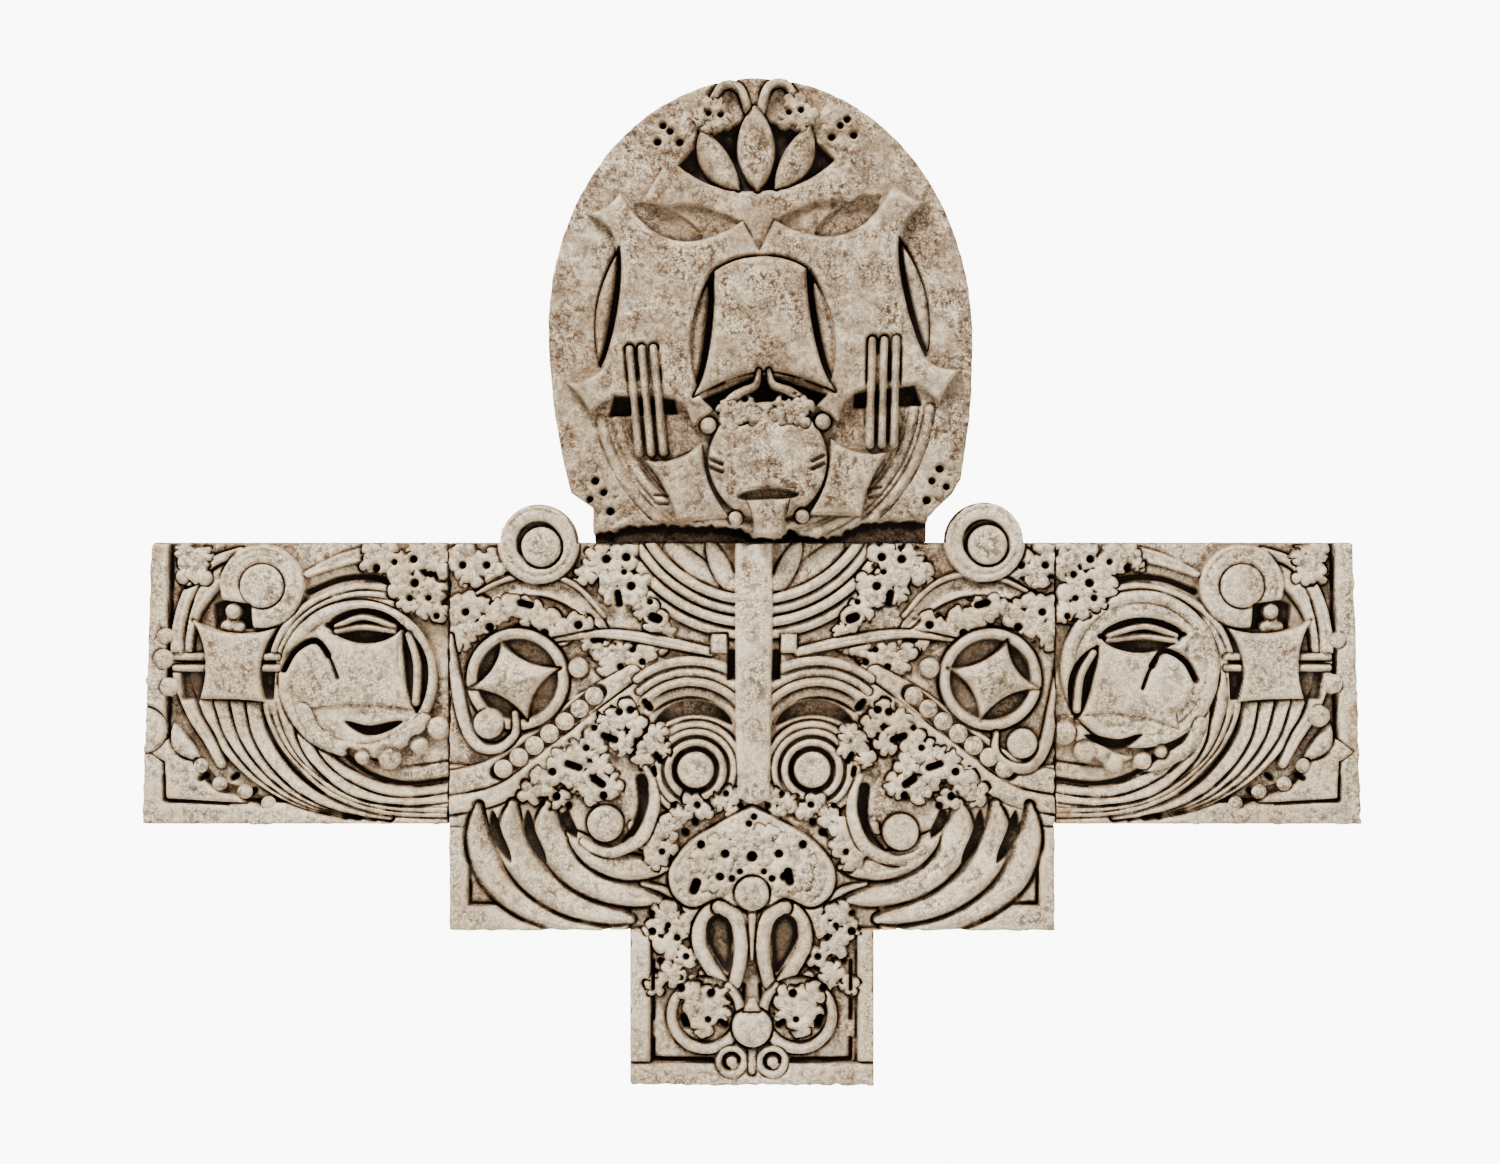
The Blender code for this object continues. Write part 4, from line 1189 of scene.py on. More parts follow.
@dataclass
class WingBlock:
    """One wing. Its carving is set out as for the left one, and the right one is turned over the axis."""

    node: str
    side: int  # -1 for the left wing
    circle: Point
    plate: list[tuple[float, float, float]]
    beads: list[tuple[float, float, float]]
    edge_beads: list[tuple[float, float, float]]
    patches: list[Patch]
    seed: int = 11
    low: Point = (138.0, 538.0)
    high: Point = (450.0, 836.0)
    half_disc: bool = True

    def carve(self) -> Carving:
        """Carves the wing's face."""
        carving = Carving(self.low, self.high)
        self.carve_frame(carving)
        self.carve_sweeps(carving)
        self.carve_circle(carving)
        self.carve_scroll(carving)
        self.carve_small_plate(carving)
        self.carve_beads(carving)
        self.carve_leaves(carving)
        carving.weather(self.seed)
        return carving

    def carve_frame(self, carving: Carving) -> None:
        """The plain border, with the sunk line inside its corner."""
        border = [(120, 520), (169, 520), (167, 640), (163, 801), (460, 806), (460, 850), (120, 850)]
        carving.plate(border, FRAME, drop=0.4, moat=4.0, floor=GROUND)
        corner = [(165, 801), (164, 762), (150, 752), (172, 735), (190, 755), (214, 780), (246, 803)]
        carving.plate(corner, FRAME, drop=0.5)
        carving.band([(330, 806), (390, 812), (450, 812)], 26, FRAME, Profile.FLAT, moat=0)
        carving.slit([(163.5, 776), (164, 800), (228, 804)], 3.0, LOW)

    def carve_sweeps(self, carving: Carving) -> None:
        """The bands that sweep round the circle and down to the joint."""
        outer = [
            (410, 590), (360, 586), (319, 597), (288, 620), (272, 655), (265, 698), (273, 728), (292, 757)
        ]
        outer += [(330, 793), (382, 812), (450, 816)]
        inner = [
            (410, 612), (362, 604), (325, 616), (300, 640), (287, 668), (284, 700), (294, 736), (313, 763)
        ]
        inner += [(350, 788), (395, 800), (450, 802)]
        foot_outer = [(201, 702), (214, 733), (238, 764), (268, 788), (300, 804), (340, 815)]
        foot_inner = [(258, 702), (264, 735), (282, 765), (308, 790), (345, 808), (395, 818)]
        for share in (0.08, 0.34, 0.62, 0.9):
            path = smooth(between(foot_outer, foot_inner, share))
            tops = (FLUSH, PROUD, PROUD, FRAME)
            carving.band(path, (15, 14, 11, 8, 6), tops, Profile.SLOPE, 7.0, moat=2.2, floor=GROUND)
        for share in (0.12, 0.5, 0.88):
            path = smooth(between(outer, inner, share))
            carving.band(path, (9, 9, 10, 11, 10, 8, 7), PROUD, Profile.ROUND, 3.5, moat=1.6, floor=LOW)
        tail = smooth([(296, 705), (303, 740), (326, 770), (360, 792), (405, 800), (450, 797)])
        carving.band(tail, (6, 12, 13, 11, 9), PROUD, Profile.SLOPE, 6.0, moat=2.4, floor=GROUND)
        tail = smooth([(310, 728), (322, 752), (345, 773), (380, 789), (415, 792), (450, 788)])
        carving.band(tail, (5, 10, 10, 8), FLUSH, Profile.SLOPE, 5.0, moat=1.8, floor=GROUND)

    def carve_circle(self, carving: Carving) -> None:
        """The circle with its plate, egg and openings."""
        x, y = self.circle
        (lx, ly, _), (rx, ry, _), (bx, by, _), (fx, fy, _) = self.plate
        carving.disc(x, y, 79, FLUSH, dome=0.0, moat=2.0)
        carving.ring(x, y, 79, 67, PROUD, relief=3.0, moat=1.2, floor=MIDDLE)
        middle, top = (lx + rx) / 2 + 2, (ly + ry) / 2
        carving.plate(sagging(self.plate), PROUD, drop=1.0, moat=1.2, floor=MIDDLE, bow=0.6)
        carving.slot(smooth([(lx + 12, top + 1), (middle, top + 2), (rx - 4, top + 3)]), 18, GROUND, 0.6)
        for rise, height in ((-7, FLUSH), (3, MIDDLE + 2)):
            arch = smooth(
                [(lx + 20, top + 6 + rise / 2), (middle, top + rise), (rx - 12, top + 6 + rise / 2)]
            )
            carving.band(arch, 6, height, Profile.ROUND, 3.0, moat=1.2, floor=GROUND)
        carving.slot(
            smooth([(rx - 1, ry + 10), ((rx + bx) / 2 + 2, (ry + by) / 2), (bx - 5, by + 1)]), 12, GROUND,
            0.6,
        )
        bow = smooth([(rx + 3, ry + 16), ((rx + bx) / 2 + 3, (ry + by) / 2 - 1), (bx - 6, by - 8)])
        carving.band(bow, 8, FLUSH, Profile.ROUND, 3.0, moat=1.2, floor=GROUND)
        ex, ey = fx + 8, (ly + fy) / 2 + 7
        lobe = [
            (ex - 23, ey), (ex - 14, ey - 22), (ex + 4, ey - 32), (ex + 22, ey - 14), (ex + 32, ey + 8),
            (ex + 18, ey + 26), (ex - 8, ey + 24),
        ]
        carving.plate(smooth([*lobe, lobe[0]]), PROUD + 1, drop=2.5, moat=0)
        point = smooth(
            [
                (ex - 26, ey - 6), (ex - 14, ey - 26), (ex + 6, ey - 35), (ex + 20, ey - 18),
                (ex + 28, ey + 2),
            ]
        )
        carving.slit(point[:24], 6.0, GROUND)
        carving.slit(point[20:], 3.0, LOW)
        foot = (by + fy) / 2
        chin = smooth([(303, foot), (318, foot + 26), (352, foot + 41), (392, foot + 36), (424, foot + 10)])
        carving.band(chin, 14, PROUD, Profile.ROUND, 3.0, moat=1.4, floor=MIDDLE)
        lips = (bx + fx) / 2
        carving.slot(
            smooth([(lips - 16, foot + 12), (lips + 8, foot + 21), (lips + 40, foot + 12)]), 5, GROUND, 0.6
        )
        carving.groove([(lips - 2, foot + 3), (lips + 26, foot + 3)], 3.0, 3.0)

    def carve_scroll(self, carving: Carving) -> None:
        """The scroll at the outer top corner, whose bands run down the outer side."""
        x, y = 261.5, 586.0
        tail = smooth([(246, 560), (222, 570), (200, 592), (188, 622), (186, 650)])
        carving.band(tail, (16, 26, 24, 16, 10), FLUSH, Profile.REEDS, 3.5, 3, moat=2.0, floor=GROUND)
        rim = [
            (240, 552), (212, 562), (192, 584), (180, 616), (176, 650), (180, 682), (192, 714), (208, 740),
            (220, 764),
        ]
        widths = (9, 10, 12, 13, 13, 13, 12, 9)
        carving.band(smooth(rim), widths, PROUD, Profile.REEDS, 3.0, 2, moat=2.2, floor=GROUND)
        carving.ring(x, y, 42, 22, PROUD, relief=2.5, moat=2.0, floor=LOW)
        carving.groove(arc(x, y, 36, -10, 215), 3.0, 3.0)
        carving.groove(arc(x, y, 30, 60, 200), 2.5, 2.2)
        carving.disc(x, y, 22, PROUD + 1, dome=1.5, moat=1.5, floor=LOW)

    def carve_small_plate(self, carving: Carving) -> None:
        """The small plate below the scroll, with its double bars."""
        carving.recess([(212, 604), (222, 600), (250, 604), (252, 629), (214, 629)], GROUND)
        carving.leaf(231, 624, 13, MIDDLE, lobes=3, bite=0.5)
        carving.disc(232, 611, 8, FLUSH + 2, dome=4.0)
        for low, high in ((174, 207), (245, 277)):
            carving.recess([(low + 4, 660), (high - 2, 660), (high - 4, 700), (low + 8, 700)], DEEP)
            for level in (657, 668):
                carving.band(
                    [(low, level), (high, level)], 7.5, FLUSH, Profile.ROUND, 3.0, moat=1.2, floor=GROUND
                )
        carving.plate(
            sagging([(192, 620, 10), (277, 627, 11), (265, 702, 1), (199, 699, 9)]), PROUD, drop=1.0,
            moat=2.0,
        )

    def carve_beads(self, carving: Carving) -> None:
        """The beads in the crescent below the circle, and those on the outer border and the diagonal."""
        foot = smooth([(350, 752), (372, 768), (405, 777), (450, 772)])
        carving.band(foot, (6, 16, 20, 20), LOW, Profile.FLAT, moat=2.5, floor=GROUND)
        carving.slit(smooth([(345, 757), (368, 774), (405, 784), (450, 779)]), 4.0, GROUND)
        for x, y, radius in self.beads:
            carving.disc(x, y, radius, FLUSH, dome=6.0, floor=LOW)
        for x, y, radius in self.edge_beads:
            carving.disc(x, y, radius, PROUD + 1, dome=4.0, moat=1.4, floor=MIDDLE)
        if self.half_disc:
            carving.disc(143, 730, 23, FRAME + 2, dome=1.0, moat=1.8, floor=LOW)
            carving.groove(arc(149, 726, 4.5, 0, 360), 1.6, 1.5)
        carving.pod(smooth([(173, 724), (180, 744), (199, 760)]), 9, FLUSH, 5.0, moat=2.0, floor=GROUND)
        carving.slit(smooth([(196, 762), (214, 784), (240, 793), (262, 803)]), 9.0, DEEP)
        for x, y in ((202, 777), (233, 777), (251, 792), (272, 801)):
            carving.eye(x, y, 2.6, 2.5, 40)

    def carve_leaves(self, carving: Carving) -> None:
        """The leafwork in the top corner by the joint, and the single leaf in the outer corner."""
        lobes = [(192, 562, 15), (184, 550, 11), (200, 575, 11), (186, 574, 11), (202, 558, 10)]
        carving.foliage(lobes, [], FLUSH + 2, moat=2.0, seed=self.seed + 3)
        carving.band(
            smooth([(306, 574), (340, 560), (374, 552)]), (6, 12, 14), FLUSH, Profile.HOLLOW, 6.0, moat=2.0
        )
        carving.slit(smooth([(308, 592), (340, 579), (375, 578), (402, 590)]), 6.0, GROUND)
        lobes = [
            (384, 556, 16), (400, 568, 16), (420, 554, 16), (438, 564, 14), (398, 586, 13), (416, 584, 14),
            (432, 590, 14),
        ]
        lobes += [
            (424, 606, 13), (406, 602, 10), (440, 612, 11), (372, 552, 10), (440, 546, 10), (366, 564, 8)
        ]
        eyes = [
            (375.5, 568, 3.8), (413, 559, 3.6), (414, 583, 4), (409, 598, 2.8), (430, 574, 2.8),
            (428, 598, 2.6), (394, 562, 2.6), (436, 616, 3),
        ]
        carving.foliage(lobes, eyes, PROUD, seed=self.seed + 4)

    def build(self, material: bpy.types.Material) -> bpy.types.Object:
        """Builds the wing in place of its solid.

        Args:
            material: The finish.

        Returns:
            The block.
        """
        low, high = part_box(self.node)
        near, far = sorted((abs(low.x), abs(high.x)))
        left, right = SHEET_AXIS - far / MINUTE, SHEET_AXIS - near / MINUTE
        top, foot = SHEET_LEVEL - high.z / MINUTE, SHEET_LEVEL - low.z / MINUTE
        outline = [(left + 9.1, top), (right, top), (right, foot), (left, foot)]
        spans = [tuple(sorted((a * self.side, b * self.side))) for a, b in pocket_spans(near, far - 0.012)]
        pockets = [(a, b, c, d) for a, b in spans for c, d in pocket_spans(low.z, high.z)]
        mesher = BlockMesh(self.carve(), outline, GROUND_DEPTH, pockets, side=-self.side, seed=self.seed)
        return settle(mesher, self.node, self.patches, material)


@dataclass
class CentreBlock:
    """The centre block with its ears and pendant."""

    node: str = "centre_block"
    axis: float = 754.0
    low: Point = (444.0, 496.0)
    high: Point = (1060.0, 1092.0)
    top: float = 0.257
    pendant_half: float = 0.1615
    ear_radius: float = 39.0  # in minutes, on the outline
    tone: float = 0.0
    seed: int = 31

    def out(self, side: int, points: Path) -> list[Point]:
        """Points given by their distance from the axis, set to one side of it."""
        return [(self.axis + side * x, y) for x, y in points]

    def carve(self) -> Carving:
        """Carves the face of the centre block and its pendant."""
        carving = Carving(self.low, self.high, level=MIDDLE - 4)
        self.carve_frame(carving)
        self.carve_bowl(carving)
        for side in (-1, 1):
            self.carve_shoulder(carving, side)
            self.carve_roundel(carving, side)
            self.carve_hood(carving, side)
            self.carve_pods(carving, side)
            self.carve_scrolls(carving, side)
            self.carve_pendant_side(carving, side)
            self.carve_ear(carving, side)
        self.carve_stem(carving)
        self.carve_palmette(carving)
        carving.weather(self.seed)
        return carving

    def carve_frame(self, carving: Carving) -> None:
        """The plain borders."""
        for side in (-1, 1):
            border = self.out(
                side, [(310, 800), (286, 800), (286, 906), (126, 906), (126, 932), (310, 932)]
            )
            carving.plate(border, FRAME, drop=0.4, moat=3.5, floor=GROUND)
            carving.plate(
                self.out(side, [(126, 930), (126, 1090), (104, 1090), (104, 930)]), FRAME, drop=0.4,
                moat=3.0,
            )
            shelf = self.out(side, [(310, 765), (262, 768), (236, 790), (238, 826), (310, 826)])
            carving.plate(shelf, FRAME, drop=0.5)
        carving.plate(
            [(620, 1064), (880, 1064), (880, 1100), (620, 1100)], FRAME, drop=0.4, moat=2.0, floor=DEEP
        )

    def carve_bowl(self, carving: Carving) -> None:
        """The bowl arcs hung behind the stem, with pointed petals between them."""
        for side in (-1, 1):
            petal = self.out(side, smooth([(88, 540), (68, 566), (30, 592)]))
            carving.pod(petal, 16, MIDDLE, 5.0, blunt=0.5, floor=GROUND)
            petal = self.out(side, smooth([(46, 540), (34, 566), (17, 599)]))
            carving.pod(petal, 10, FLUSH, 5.0, blunt=0.5, floor=GROUND)
        for radius, height in ((159, FLUSH), (147, PROUD), (135, FLUSH), (124, PROUD)):
            bowl = arc(self.axis, 476, radius, -175, -5, 48)
            carving.band(bowl, 10, height, Profile.ROUND, 3.0, moat=1.8, floor=GROUND)

    def carve_stem(self, carving: Carving) -> None:
        """The flat stem on the axis, with the small blocks beside it."""
        for side in (-1, 1):
            carving.recess(self.out(side, [(17, 650), (27, 650), (27, 680), (17, 680)]), GROUND)
            carving.plate(self.out(side, [(27, 634), (43, 634), (43, 653), (27, 653)]), FLUSH, moat=2.0)
        stem = [
            (735.5, 530), (771.5, 530), (773, 602), (771, 740), (770, 798), (754, 806), (738, 798),
            (736, 740), (735, 602),
        ]
        carving.plate(stem, PROUD, drop=1.2, moat=1.0, floor=MIDDLE)
        carving.groove([(736, 602), (772, 602)], 3.0, 2.5)

    def ear_centre(self, side: int) -> Point:
        """The middle of a scroll ear."""
        return (538.0, 543.0) if side < 0 else (985.0, 541.0)

    def carve_ear(self, carving: Carving, side: int) -> None:
        """A scroll ear on the top edge."""
        x, y = self.ear_centre(side)
        carving.ring(x, y, 41, 22, PROUD, relief=3.0, moat=2.0)
        carving.groove(arc(x, y, 33, 0, 360, 40), 3.0, 3.5)
        carving.disc(x + 3, y + 4, 20, PROUD + 1, dome=1.5, moat=2.2, floor=GROUND)

    def carve_shoulder(self, carving: Carving, side: int) -> None:
        """Leafwork below the top edge, with a long hollow leaf through it."""
        corner = [
            (299, 560, 14), (284, 572, 16), (266, 562, 14), (254, 578, 14), (239, 568, 13), (292, 548, 11),
            (222, 560, 12),
        ]
        eyes = [(292, 565, 3.4), (268, 565, 3.4), (247, 575, 3.2), (276, 592, 3, 5, 0), (228, 574, 3)]
        self.set_foliage(carving, side, corner, eyes, FLUSH + 3, 5)
        inner = [
            (154, 560, 16), (139, 575, 17), (129, 555, 15), (122, 592, 15), (109, 608, 13), (99, 620, 12),
            (144, 594, 11),
        ]
        inner += [(168, 574, 12), (112, 582, 10), (88, 632, 9)]
        eyes = [
            (148, 559, 4), (128, 557, 4), (123, 586, 4), (136, 598, 3.4, 5, 80), (104, 602, 2.6),
            (99, 618, 4.5, 3, 20), (130, 572, 2.6),
        ]
        self.set_foliage(carving, side, inner, eyes, PROUD, 8)
        leaf = smooth([(284, 604), (258, 590), (228, 582), (196, 588), (168, 608), (146, 634)])
        carving.band(
            self.out(side, leaf), (8, 20, 26, 24, 16, 4), PROUD, Profile.HOLLOW, 13.0, moat=2.0,
            floor=GROUND,
        )
        rim = self.out(side, smooth([(286, 598), (250, 580), (212, 574), (178, 586), (150, 616)]))
        carving.band(rim, (3, 5, 5, 4), PROUD, Profile.RIDGE, 3.0)
        lower = [
            (299, 612, 16), (281, 606, 14), (260, 613, 14), (243, 606, 12), (227, 612, 15), (209, 622, 15),
            (194, 632, 13),
        ]
        lower += [
            (176, 626, 14), (163, 641, 12), (284, 628, 13), (296, 638, 13), (150, 650, 11), (268, 624, 9)
        ]
        eyes = [
            (289, 612, 3.4), (265, 627, 4), (229, 604, 3.4, 5, 15), (237, 627, 3.4), (210, 633, 4),
            (176, 625, 4), (157, 640, 3, 4, 0),
        ]
        self.set_foliage(carving, side, lower, eyes, PROUD, 12)
        by_hood = [
            (134, 655, 14), (119, 665, 13), (144, 667, 13), (106, 650, 11), (154, 652, 10), (92, 645, 9),
            (132, 678, 10),
        ]
        self.set_foliage(
            carving, side, by_hood, [(112, 662, 3.2), (134, 667, 3.2), (122, 650, 2.6)], FLUSH, 15
        )
        stalk = self.out(side, smooth([(200, 640), (150, 634), (100, 640), (44, 652)]))
        carving.band(stalk, (4, 9, 11, 9), FLUSH, Profile.REEDS, 3.0, 2, moat=1.6, floor=GROUND)

    def set_foliage(
        self,
        carving: Carving,
        side: int,
        lobes: Sequence[tuple[float, float, float]],
        eyes: Sequence[tuple[float, ...]],
        top: float,
        seed: int,
    ) -> None:
        """A leaf mass whose lobes and eyes are given by their distance from the axis."""
        placed = [(self.axis + side * x, y, size) for x, y, size in lobes]
        drilled = []
        for x, *rest in eyes:
            turned = rest if side > 0 else [*rest[:3], *(180 - turn for turn in rest[3:])]
            drilled.append((self.axis + side * x, *turned))
        carving.foliage(placed, drilled, top, seed=seed)

    def carve_hood(self, carving: Carving, side: int) -> None:
        """The hood of arcs that springs from the stem, and the slanting band."""
        band = self.out(side, smooth([(112, 690), (150, 718), (195, 752), (252, 793), (306, 806)]))
        carving.band(band, (20, 20, 19, 18, 18), PROUD, Profile.FLAT, 2.0, moat=2.0)
        for x, y in ((62, 705), (60, 722)):
            hollow = [(x + 46 * math.cos(t), y + 26 - 40 * math.sin(t)) for t in np.linspace(0.5, 2.5, 14)]
            carving.slot(self.out(side, hollow), 8, GROUND, 0.5)
        arcs = ((87, PROUD, 128), (76, FLUSH + 1, 132), (66, PROUD, 136), (56, MIDDLE, 140))
        for radius, height, last in arcs:
            turns = np.linspace(0.35, math.radians(last), 24)
            ring = [(64 - radius * math.cos(t), 748 - radius * math.sin(t)) for t in turns]
            way = self.out(side, [(max(x, 14), y) for x, y in ring])
            carving.band(way, (8, 9, 9, 8), height, Profile.ROUND, 3.0, moat=1.6, floor=LOW)

    def carve_pods(self, carving: Carving, side: int) -> None:
        """The long pods that sweep down from the sides to the palmette."""
        pods = (
            ([(276, 806), (277, 842), (258, 882), (214, 912), (150, 930)], 16, FLUSH),
            ([(242, 804), (244, 840), (225, 874), (184, 902), (124, 920)], 17, FRAME + 1),
            ([(205, 804), (206, 836), (182, 868), (146, 888), (96, 900)], 18, PROUD),
            ([(184, 834), (160, 856), (128, 868), (88, 868)], 14, HIGH),
        )
        for spine, half_width, height in pods:
            path = self.out(side, smooth(spine))
            carving.pod(
                path, half_width, height, 19.0, blunt=0.38, moat=2.4, floor=GROUND, lean=0.45 * side
            )
            for shift in (-0.32, 0.34):
                flute = [
                    (x - shift * half_width * side * 0.8, y + shift * half_width * 0.7) for x, y in path
                ]
                carving.groove(flute[6:-6], 3.0, 1.6)
        wedges = (
            [(262, 812), (258, 836), (244, 862)],
            [(227, 812), (224, 836), (209, 862)],
            [(190, 808), (188, 822), (178, 838)],
        )
        for wedge in wedges:
            carving.slot(self.out(side, smooth(wedge)), 6, GROUND, 0.5)
        spike = self.out(side, smooth([(112, 884), (88, 892), (64, 908)]))
        carving.band(spike, (4, 7, 3), PROUD, Profile.RIDGE, 5.0, moat=2.0, floor=GROUND)

    def carve_scrolls(self, carving: Carving, side: int) -> None:
        """The two round scrolls on each side of the stem, and the leafwork between them."""
        mass = [
            (129, 712, 13), (144, 723, 14), (159, 741, 14), (174, 753, 14), (192, 763, 15), (209, 781, 15),
            (224, 793, 13),
        ]
        mass += [
            (179, 776, 15), (154, 766, 13), (164, 791, 14), (144, 786, 13), (196, 800, 11), (118, 726, 11),
            (132, 744, 12),
        ]
        eyes = [
            (135, 712, 3.5), (124, 710, 3.8), (107, 705, 3.4, 4, 50), (145, 738, 3.2, 6, 20),
            (181, 766, 3.2, 6, 20), (202, 772, 3.6),
        ]
        eyes += [
            (156, 782, 3.6, 5, 35), (151, 796, 4), (198, 797, 4), (186, 806, 3.6), (168, 748, 2.8),
            (160, 728, 2.6),
        ]
        self.set_foliage(carving, side, mass, eyes, PROUD, 21)
        x, y = self.axis + side * 58.4, 770.0
        carving.disc(x, y, 49, LOW, dome=0.0, moat=2.0, floor=GROUND)
        for outer, inner, top in ((48, 42, FLUSH), (41, 35, PROUD), (31, 24, PROUD)):
            carving.ring(x, y, outer, inner, top, relief=2.5, moat=1.6, floor=LOW)
        carving.slit(arc(x, y, 22.0, 130, 290), 4.0, GROUND)
        carving.disc(x, y, 18, HIGH, dome=1.5, moat=0.8, floor=LOW)
        beside = [(104, 745, 12), (96, 734, 10), (112, 758, 10), (92, 750, 9)]
        self.set_foliage(carving, side, beside, [(96, 758, 2.6, 4, 60), (100, 772, 2.6, 3, 80)], HIGH, 23)
        x, y, radius = (605.0, 824.0, 15.0) if side < 0 else (901.0, 832.6, 15.0)
        low = [
            (104, 845, 14), (89, 830, 14), (74, 816, 12), (114, 830, 11), (62, 802, 10), (98, 860, 11),
            (50, 812, 9), (86, 848, 10),
        ]
        eyes = [(59, 823, 3.5), (69, 833, 4), (57, 805, 3), (104, 832, 3), (92, 852, 2.8), (80, 806, 2.6)]
        self.set_foliage(carving, side, low, eyes, PROUD, 27)
        dark = smooth([(x - side * a, y + b) for a, b in ((22, 18), (32, 4), (38, -18), (36, -44))])
        carving.slit(dark, 11.0, GROUND)
        curl = [(-22, 18), (-8, 26), (10, 28), (36, 14), (48, -14), (48, -38), (40, -56)]
        path = smooth([(x - side * a, y + b) for a, b in curl])
        carving.band(path, (7, 10, 12, 13, 12, 9, 5), PROUD + 1, Profile.SLOPE, 5.0, moat=1.8, floor=LOW)
        carving.disc(x, y, radius + 3, HIGH, dome=1.5, moat=1.8, floor=GROUND)
        foot = [(34, 802, 10), (20, 796, 10), (8, 788, 9), (22, 812, 9)]
        self.set_foliage(carving, side, foot, [(28, 794, 2.6), (14, 806, 2.6)], FLUSH, 29)

    def carve_roundel(self, carving: Carving, side: int) -> None:
        """The ring with a pyramid in it, the small disc below and the band under them."""
        rail = self.out(side, smooth([(122, 674), (160, 700), (204, 734), (262, 776), (306, 788)]))
        carving.band(rail, (18, 27, 30, 32, 34), FLUSH, Profile.FLAT, 2.0, moat=1.6, floor=DEEP)
        bed = self.out(side, smooth([(156, 693), (184, 717), (215, 742), (256, 772)]))
        carving.slit(bed, 17.5, DEEP)
        x, y = self.axis + side * 237, 679.5
        carving.disc(x, y, 52, DEEP, dome=0.0, moat=2.0, floor=GROUND)
        carving.ring(x, y, 51, 41, PROUD, relief=3.0, moat=1.4)
        outline = self.out(side, sagging([(254, 640, 9), (287, 689, 9), (227, 721, 9), (194, 668, 9)]))
        window = carving.window(outline, 5.0)
        distance = carving.outline_distance(window, outline)
        peak = FLUSH - 6 + 17.0 * np.clip(-distance / 25.0, 0, 1) ** 0.85
        carving.lay(window, distance, peak, 2.2, GROUND)
        carving.disc(self.axis + side * 176, 668, 10, HIGH, dome=5.0)
        x, y, radius = (488.4, 724.0, 15.0) if side < 0 else (1022.7, 743.7, 15.0)
        curl = [(-38, -88), (-34, -50), (-24, 0), (-10, 22), (10, 24), (26, 10), (26, -10)]
        path = smooth([(x - side * a, y + b) for a, b in curl])
        carving.band(path, (5, 9, 12, 12, 11, 9, 6), PROUD, Profile.SLOPE, 5.0, moat=2.0, floor=GROUND)
        carving.disc(x, y, radius, HIGH, dome=1.5, moat=1.8)

    def carve_palmette(self, carving: Carving) -> None:
        """The palmette on the axis, its bead and the stem and ball below."""
        x = SHEET_AXIS
        half = smooth(
            [
                (0, 806), (30, 822), (62, 842), (82, 868), (80, 894), (60, 908), (34, 899), (18, 906),
                (0, 912),
            ]
        )
        outline = [(x + a, b) for a, b in half] + [(x - a, b) for a, b in half[-2:0:-1]]
        carving.plate(outline, FLUSH + 2, drop=2.0, moat=2.4, floor=GROUND)
        carving.groove([(x + 0.9 * (a - x), 858 + 0.9 * (b - 858)) for a, b in outline], 3.0, 3.0)
        lobes = [
            (14, 834, 12), (34, 848, 13), (52, 862, 12), (32, 866, 14), (12, 852, 13), (50, 880, 11),
            (32, 884, 12), (0, 842, 12),
        ]
        both = [(x + side * a, b, size) for side in (-1, 1) for a, b, size in lobes]
        pairs = ((51, 845, 3.8), (27, 854, 3.8), (32, 877, 3.8), (20, 879, 3))
        eyes = [(x + side * a, b, r) for side in (-1, 1) for a, b, r in pairs]
        eyes += [
            (x, 857, 5), (x - 3, 824, 3), (x + 2, 817, 3), (x - 57, 887, 4.5, 4, 70),
            (x + 37, 877, 4, 5, 100), (x - 12, 872, 2.6), (x + 12, 872, 2.6),
        ]
        carving.foliage(both, eyes, PROUD + 1, relief=3.0, moat=1.4, floor=MIDDLE, seed=33)
        carving.band([(x, 905), (x, 960)], (10, 6, 3), HIGH, Profile.RIDGE, 6.0, moat=1.5, floor=GROUND)
        carving.disc(x, 894, 17, HIGH + 1, dome=2.0, moat=2.6, floor=GROUND)
        carving.band([(x, 1040), (x, 1072)], 8, FLUSH, Profile.ROUND, 3.0, moat=1.6)
        carving.disc(x, 1028, 20, HIGH + 1, dome=4.0, moat=2.4, floor=GROUND)
        carving.plate([(x - 3, 1000), (x + 3, 1000), (x + 9, 1012), (x - 9, 1012)], PROUD, moat=1.4)

    def carve_pendant_side(self, carving: Carving, side: int) -> None:
        """One side of the pendant."""
        x = SHEET_AXIS

        def out(points: Path) -> list[Point]:
            return [(x + side * a, b) for a, b in points]

